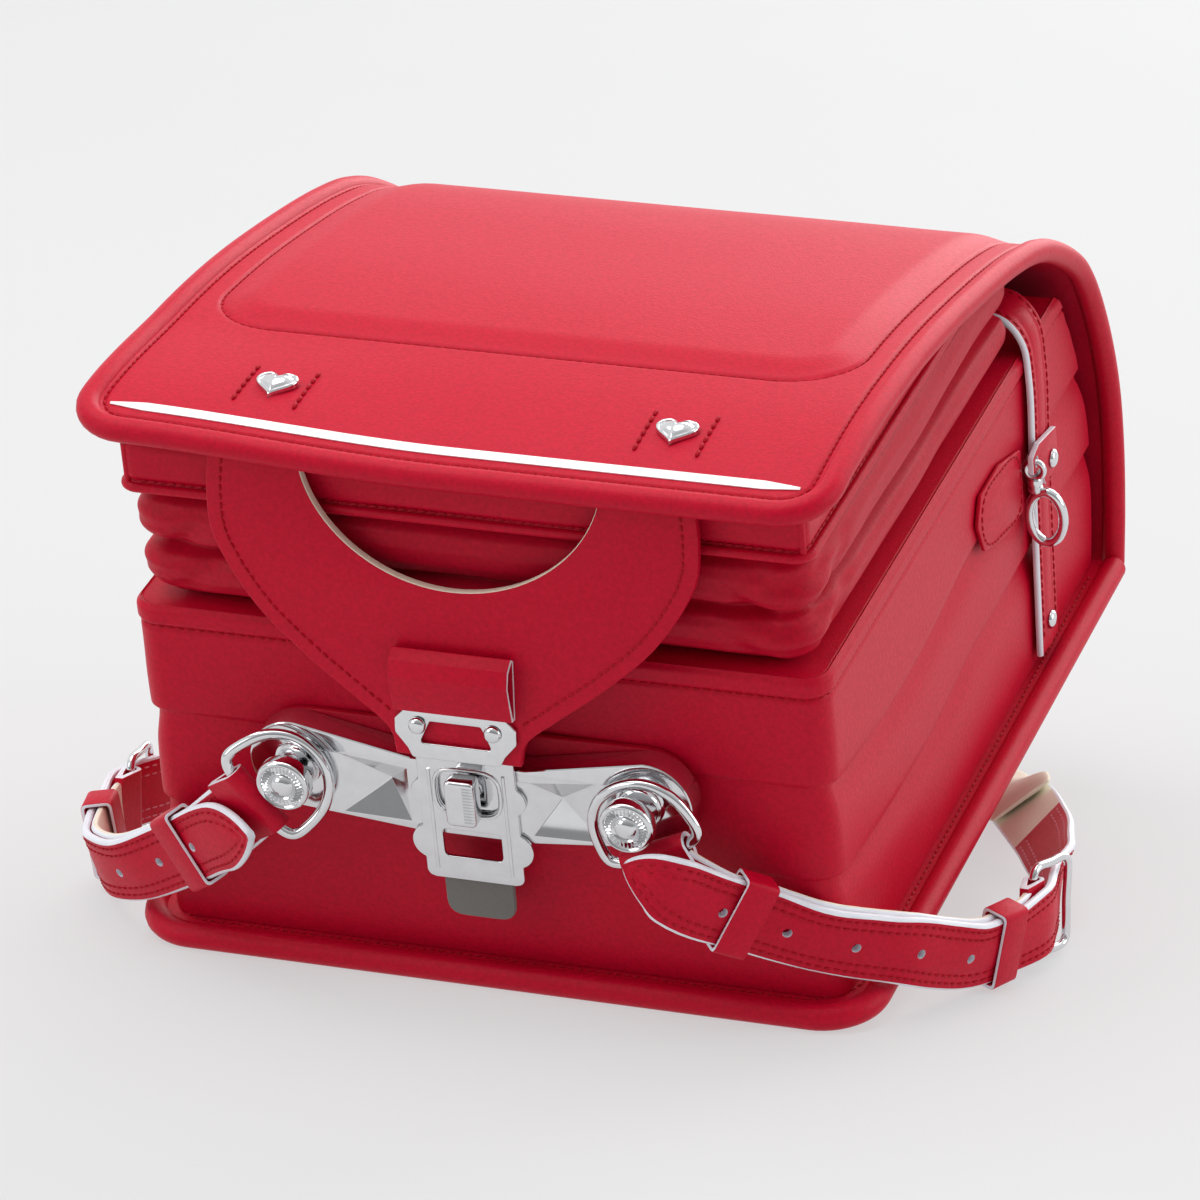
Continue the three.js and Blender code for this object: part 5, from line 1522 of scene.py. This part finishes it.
def folded(name, middle, bar, leave, wire, layer=FOLD_SHELL):
    """A strap's end turned round a bar: two layers that meet in a point."""
    bar = bar.normalized()
    leave = (leave - bar * leave.dot(bar)).normalized()
    normal = bar.cross(leave)
    outer, inner = wire + 2 * GAP + layer, wire + 0.3
    reach = 3.1 * outer

    def drop(radius, tip, half):
        arc = [
            (radius * math.cos(math.radians(a)), radius * math.sin(math.radians(a))) for a in range(72, 289, 9)]
        return arc + [(tip, -half), (tip, half)]

    wide = size("strap_width")
    return plate(
        name, [drop(outer, reach, 1.5), drop(inner, reach - 4, 0.1)], wide,
        lambda x, y, z: upright(*(middle + leave * x + normal * y + bar * (z - wide / 2))),
        bevel=0.3, flat=True)


def keeper_loop(name, bands, share):
    """A loop round two straps, as wide as both need over its length."""
    point, along, width, normal = bands[0].at(share)
    half = 6
    low, high = Vector((1e9, 1e9)), Vector((-1e9, -1e9))
    for band in bands:
        for i in range(401):
            centre, _, across, out = band.at(i / 400)
            if (centre - point).length > 40:
                continue
            for u, v in ((-1, -1), (1, -1), (1, 1), (-1, 1)):
                away = centre + across * (u * 12.2) + out * (v * 1.5) - point
                if abs(away.dot(along)) > half + 0.5:
                    continue
                flat = (away.dot(width), away.dot(normal))
                low = Vector((min(low.x, flat[0]), min(low.y, flat[1])))
                high = Vector((max(high.x, flat[0]), max(high.y, flat[1])))
    spread = high - low + Vector((2 * GAP, 2 * GAP))
    middle = (high + low) / 2
    wall = 1.4
    return plate(
        name, [box(spread.x + 2 * wall, spread.y + 2 * wall, 2.4), box(spread.x, spread.y, 1.2)], 2 * half,
        lambda x, y, z: upright(
            *(point + width * (middle.x + x) + normal * (middle.y + y) + along * (z - half))),
        bevel=0.4, flat=True)


def pad_section(half, thick):
    """A soft cushion's outline."""
    points = []
    for i in range(28):
        turn = 2 * math.pi * i / 28
        c, s = math.cos(turn), math.sin(turn)
        points.append((half * math.copysign(abs(c) ** 0.6, c), thick / 2 * math.copysign(abs(s) ** 0.75, s)))
    return points


def ring_place(name):
    """The directions in which a ring hangs and its bar runs, and its middle."""
    side, hang, bar, drop = RING_POSES[name]
    hang = hang.normalized()
    bar = (bar - hang * bar.dot(hang)).normalized()
    return hang, bar, Vector((side * POST_SPREAD / 2, RING_ALONG, POST_RISE)) + hang * drop


class RANSEL_OT_straps(bpy.types.Operator):
    """Rings, folded straps, keepers, buckles and shoulder pads"""

    bl_idname = "ransel.straps"
    bl_label = "Straps"

    def execute(self, context):
        for name in ("left", "right"):
            strap_set(name)
        anchor = plate(
            "anchor", [box(96, 28, 3)], 4, lambda x, y, z: bag(x, ANCHOR_ALONG + y, -2.3 + z), bevel=0.6)
        dress(anchor, CREASED, replaces=["strap_anchor"])
        return {"FINISHED"}


def strap_set(name):
    """One side's ring, straps, pad, buckle and keepers."""
    side = RING_POSES[name][0]
    hang, bar, middle = ring_place(name)
    ring = Line(
        [middle + bar * (a * RING_WIDTH) - hang * (r * RING_REACH) for a, r in RING_OUTLINE], closed=True)
    wire = [bag(*p) for p in ring.places[:-1:3]]
    dress(strand(f"ring_{name}", wire, size("wire"), closed=True), CHROME, replaces=[f"d_ring_{name}"])

    start, start_bar = SEAT + TURN @ middle, TURN @ bar
    out, along, rise, heading = BUCKLES[name]
    heading = heading.normalized()
    outward = heading.cross(UP) * side
    near = Vector((side * out * PANEL_WIDTH / 2, along * BAG_LENGTH, rise))

    def beyond(way, off, drop=0):
        spot = near + heading * way + outward * off
        return Vector((spot.x, spot.y, near.z + drop)), UP

    def share_of(x, y, z, width):
        way = near - start
        return Vector((start.x + way.x * x, start.y + way.y * y, start.z + way.z * z)), width

    clear_near = BUCKLE_WIRE + FOLD_SHELL + 1.5 + 6 * GAP
    clear_far = BUCKLE_WIRE + 1.5 + 5 * GAP
    across = TURN @ Vector((0, 1, 0))
    seat = SEAT + TURN @ Vector((side * 32, ANCHOR_ALONG, 2 - 4 - 2 * GAP))
    pointed = Band([
        *[share_of(*row) for row in POINTED[name]],
        beyond(-1, clear_near, -1), beyond(BUCKLE_LENGTH * 0.55, 0.5), beyond(BUCKLE_LENGTH, -clear_far),
        *[(Vector((side * o * PANEL_WIDTH / 2, a * BAG_LENGTH, r)), (side * w[0], w[1], w[2]))
          for o, a, r, w in UNDER_PANEL],
        (seat - TURN @ UP * 24, across), (seat, across),
    ], on_floor=True)
    bar_share = pointed.row_share(len(POINTED[name]))
    tip = TIP_LENGTH / pointed.length
    marks = [part * tip for part in (0, 0.15, 0.35, 0.6, 0.8)]
    marks += [tip + i / 56 * (1 - tip) for i in range(57)]
    together = [
        share for share in marks
        if share * pointed.length > 33 and (bar_share - share) * pointed.length > 13
    ]
    beneath = []
    for share in together:
        point, _, width, normal = pointed.at(share)
        beneath.append((point - normal * side * (3 + 1.5 * GAP), width))
    lower = Band([
        (start, start_bar), (start + LEAVES[name], start_bar), *beneath, (near, UP)])
    wide, thick, pitch = size("strap_width") / 2, size("strap_thick"), size("stitch")

    def tipped(way):
        if way >= TIP_LENGTH:
            return wide
        return wide * (0.1 + 0.9 * math.sin(math.pi / 2 * max(way, 0) / TIP_LENGTH) ** 0.75)

    shares = [tip * (i / 14) ** 1.5 for i in range(15)]
    shares += [s / pointed.length for s in spaced(TIP_LENGTH, pointed.length, 4)[1:]]
    lined_way = bar_share * pointed.length + 92
    lined_from = sum(share * pointed.length < lined_way for share in shares)
    strap = sweep(
        f"strap_{name}", pointed, shares, tipped, thick, side, upright, strap_finish(False, lined_from))
    punches = []
    for i in range(5):
        point, _, _, normal = pointed.at((FIRST_HOLE + i * HOLE_SPACING) / pointed.length)
        ends = [upright(*(point - normal * 4)), upright(*(point + normal * 4))]
        punches.append(strand("punch", ends, 1.7, sides=3))
    tool = joined("punch", punches)
    for face in tool.data.polygons:
        face.material_index = 1
    for material in (LEATHER, EDGE_PAINT, LINING):
        tool.data.materials.append(finish_of(material))
        strap.data.materials.append(finish_of(material))
    carve(strap, tool)
    dress(strap, replaces=[f"shoulder_strap_{name}"])

    low_shares = [s / lower.length for s in spaced(7, lower.length - 6, 3.5)]
    under = sweep(
        f"low_strap_{name}", lower, low_shares, lambda _: wide, thick, side, upright, strap_finish(True))
    dress(under, LEATHER, EDGE_PAINT, LINING, replaces=[f"lower_strap_{name}"])
    leave = lower.at(9 / lower.length)[0] - start
    dress(folded(f"ring_fold_{name}", start, start_bar, leave, size("wire")), LEATHER, EDGE_PAINT)
    arrive = lower.at(1 - 9 / lower.length)[0] - near
    dress(folded(f"buckle_fold_{name}", near, UP, arrive, BUCKLE_WIRE), LEATHER, EDGE_PAINT)

    rows = []
    for hand in (-1, 1):
        for inset in (2.8, 5.6):
            def off(way, hand=hand, inset=inset):
                return hand * tipped(way - 1.1 * inset) * (wide - inset) / wide
            rows.append(strap_rows(
                pointed, 1.3 * inset, pointed.length * 0.58, off, thick / 2 - 0.1, side, upright, pitch))
        rows.append(strap_rows(
            lower, 11, 48, lambda _, hand=hand: hand * (wide - 2.8), thick / 2 - 0.1, side, upright, pitch))
    stitches(f"strap_seam_{name}", rows, thread=0.44)
    inner_rows = [
        strap_rows(
            pointed, lined_way - 88, lined_way - 2, lambda _, at=at: at, thick / 2 - 0.1, -side, upright, pitch)
        for at in (-wide + 3, -wide + 6, wide - 6, wide - 3)
    ]
    stitches(f"strap_inner_seam_{name}", inner_rows, thread=0.4, material=PALE_THREAD)

    corners = [
        (0, -0.88), (0, 0), (0, 0.88), (0.1, 1), (0.5, 1), (0.9, 1), (1, 0.88), (1, 0), (1, -0.88), (0.9, -1),
        (0.5, -1), (0.1, -1),
    ]
    frame_line = Line(
        [near + heading * (a * BUCKLE_LENGTH) + UP * (r * BUCKLE_HIGH) for a, r in corners], closed=True)
    loop = [upright(*p) for p in frame_line.places[:-1:3]]
    dress(strand(f"buckle_frame_{name}", loop, BUCKLE_WIRE, closed=True), CHROME, replaces=[f"buckle_{name}"])
    bands = (pointed, lower)
    first = keeper_loop(f"loop_{name}", bands, 47 / pointed.length)
    dress(first, LEATHER, EDGE_PAINT, replaces=[f"keeper_{name}"])
    second = keeper_loop(f"buckle_loop_{name}", bands, bar_share - 26 / pointed.length)
    dress(second, LEATHER, EDGE_PAINT, replaces=[f"buckle_keeper_{name}"])

    pad_marks = [share for share in marks if 0.6 < share < 0.9]
    pad_shares = [pad_marks[0] + (pad_marks[-1] - pad_marks[0]) * i / 48 for i in range(49)]
    frames = [pointed.at(share) for share in pad_shares]
    shift = -side * ((3 + 5) / 2 + 1.5 * GAP)

    def cushion(k, j):
        point, _, width, normal = frames[k]
        end = min(k, len(frames) - 1 - k) / 4
        swell = math.sqrt(1 - (1 - min(end, 1)) ** 2) * 0.75 + 0.25
        ring = pad_section(13.5 * (0.85 + 0.15 * swell), 5 * swell)
        u, v = ring[j % len(ring)]
        return upright(*(point + width * u + normal * (shift + v)))

    pad = skin(f"pad_{name}", range(len(frames)), range(29), cushion, closed=True, capped=True)
    dress(pad, LINING, replaces=[f"shoulder_pad_{name}"])


SIDE_HALF = 10
SIDE_THICK = 2.5
SIDE_TURN = 27
HOOK_ALONG = 212
HOOK_RISE = 92


class RANSEL_OT_side(bpy.types.Operator):
    """Strap, tab, patch and swivel hook on the right side"""

    bl_idname = "ransel.side"
    bl_label = "Side strap"

    def execute(self, context):
        side_out = BODY_WIDTH / 2 + 1.08 + SIDE_THICK / 2 + 0.2
        rows = [(0, 0.03), (0, 0.3), (0, 0.6), (0, 0.85), (0.08, 0.96), (0.34, 1.02), (1, 1.03)]
        band = Band([
            (Vector((side_out - turn * SIDE_TURN, SIDE_STRAP_ALONG + 5 * (rise - 1),
                     BODY_START + rise * (BODY_DEPTH + 11 - BODY_START))), (0, 1, 0))
            for turn, rise in rows])
        shares = [i / 60 for i in range(61)]
        strap = sweep("side_band", band, shares, lambda _: SIDE_HALF, SIDE_THICK, -1, bag, strap_finish(False))
        dress(strap, LEATHER, EDGE_PAINT, LINING, replaces=["side_strap"])
        seams = [
            strap_rows(
                band, 6, band.length * 0.9, lambda _, hand=hand: hand * 7.2, 1.2, -1, bag, size("stitch"))
            for hand in (-1, 1)
        ]
        stitches("side_seam", seams)
        face = side_out + SIDE_THICK / 2 + 1.4 * GAP
        outward = TURN @ Vector((1, 0, 0))
        along, rise = HOOK_ALONG, HOOK_RISE
        rivet("side_rivet", 3.4, 1.8, lambda x, y, z: bag(face + z, SIDE_STRAP_ALONG - 4 + x, 21 + y),
              "side_strap_rivet")
        outline = [
            (along - 4, rise + 3.4), (along - 4, rise - 3.6), (along + 4, rise - 4.5), (along + 9, rise - 14),
            (along + 24, rise - 14), (along + 24, rise + 1), (along + 4, rise + 5),
        ]
        tab = plate("hook_strip", [rounded(outline, 1.4), disc(1.9, along, rise, 20)], 2,
                    lambda x, y, z: bag(face + z, x, y), bevel=0.35, rim=lambda point: True)
        dress(tab, LEATHER, EDGE_PAINT, replaces=["hook_tab"])
        rivet("hook_stud", 3.4, 1.8, lambda x, y, z: bag(face + 2.3 + z, along + 17 + x, rise - 8 + y),
              "hook_rivet")
        x = face + 1
        eye = [bag(out, along, up) for out, up in disc(3.3, x, rise - 3.3, 24)]
        top = rise - 6.8
        barrel = [
            (0, 0), (1.6, 0), (2.3, 0.3), (2.6, 0.8), (2.6, 2.2), (2.2, 2.5), (2.2, 3), (2.6, 3.3),
            (2.6, 5.3),
            (2.2, 5.9), (0, 6),
        ]
        middle = top - 15
        turns = [2 * math.pi * i / 32 for i in range(32)]
        oval = [bag(x + 3.4 + 6.1 * math.sin(turn), along, middle + 10 * math.cos(turn)) for turn in turns]
        hook = joined("swivel_hook", [
            strand("eye", eye, 1.1, closed=True),
            turned("barrel", barrel, lambda a, b, z: bag(x + a, along + b, top - 5.4 + z), steps=32),
            strand("oval", oval, 1.8, closed=True),
        ])
        dress(hook, CHROME, replaces=["side_hook"])
        corners = [(209, 98), (185, 105), (163, 105), (158, 96), (164, 83), (186, 76), (209, 74)]
        backing = plate("hook_backing", [rounded(corners, 2.2)], 1.4, lambda x, y, z: bag(
            BODY_WIDTH / 2 + GAP + z, x, y), bevel=0.4)
        dress(backing, LEATHER, replaces=["hook_patch"])
        centre = Vector((184, 90))
        edge = [centre + (Vector(c) - centre) * 0.84 for c in corners]
        line = Line([(p.x, p.y, 0) for p in edge], closed=True)

        def sewing(way):
            point, _ = line.at(way / line.length)
            return bag(BODY_WIDTH / 2 + GAP + 1.45, point.x, point.y), outward

        stitches("hook_backing_seam", [sewn(sewing, 0, line.length, size("stitch"))])
        return {"FINISHED"}


class RANSEL_PT_panel(bpy.types.Panel):
    """Sizes, colours and the steps that build the ransel"""

    bl_idname = "RANSEL_PT_panel"
    bl_label = "School Ransel"
    bl_space_type = "VIEW_3D"
    bl_region_type = "UI"
    bl_category = "Ransel"

    def draw(self, context):
        for group in (context.scene.ransel, context.scene.ransel_colours):
            column = self.layout.column(align=True)
            for name in group.__annotations__:
                column.prop(group, name)
        column = self.layout.column(align=True)
        for each in STEPS:
            column.operator(each.bl_idname)


STEPS = (
    RANSEL_OT_stage,
    RANSEL_OT_flap,
    RANSEL_OT_trim,
    RANSEL_OT_body,
    RANSEL_OT_gusset,
    RANSEL_OT_pocket,
    RANSEL_OT_back,
    RANSEL_OT_tab,
    RANSEL_OT_lock,
    RANSEL_OT_straps,
    RANSEL_OT_side,
)
CLASSES = (RanselSizes, RanselColours, *STEPS, RANSEL_PT_panel)


def register():
    """Registers the classes and their properties."""
    for each in CLASSES:
        bpy.utils.register_class(each)
    bpy.types.Scene.ransel = PointerProperty(type=RanselSizes)
    bpy.types.Scene.ransel_colours = PointerProperty(type=RanselColours)


def unregister():
    """Takes the classes and their properties away."""
    del bpy.types.Scene.ransel_colours
    del bpy.types.Scene.ransel
    for each in reversed(CLASSES):
        bpy.utils.unregister_class(each)


def main():
    """Builds the scene, step by step."""
    register()
    bpy.ops.ransel.stage()
    bpy.ops.ransel.flap()
    bpy.ops.ransel.trim()
    bpy.ops.ransel.body()
    bpy.ops.ransel.gusset()
    bpy.ops.ransel.pocket()
    bpy.ops.ransel.back()
    bpy.ops.ransel.tab()
    bpy.ops.ransel.lock()
    bpy.ops.ransel.straps()
    bpy.ops.ransel.side()


if __name__ == "__main__":
    main()
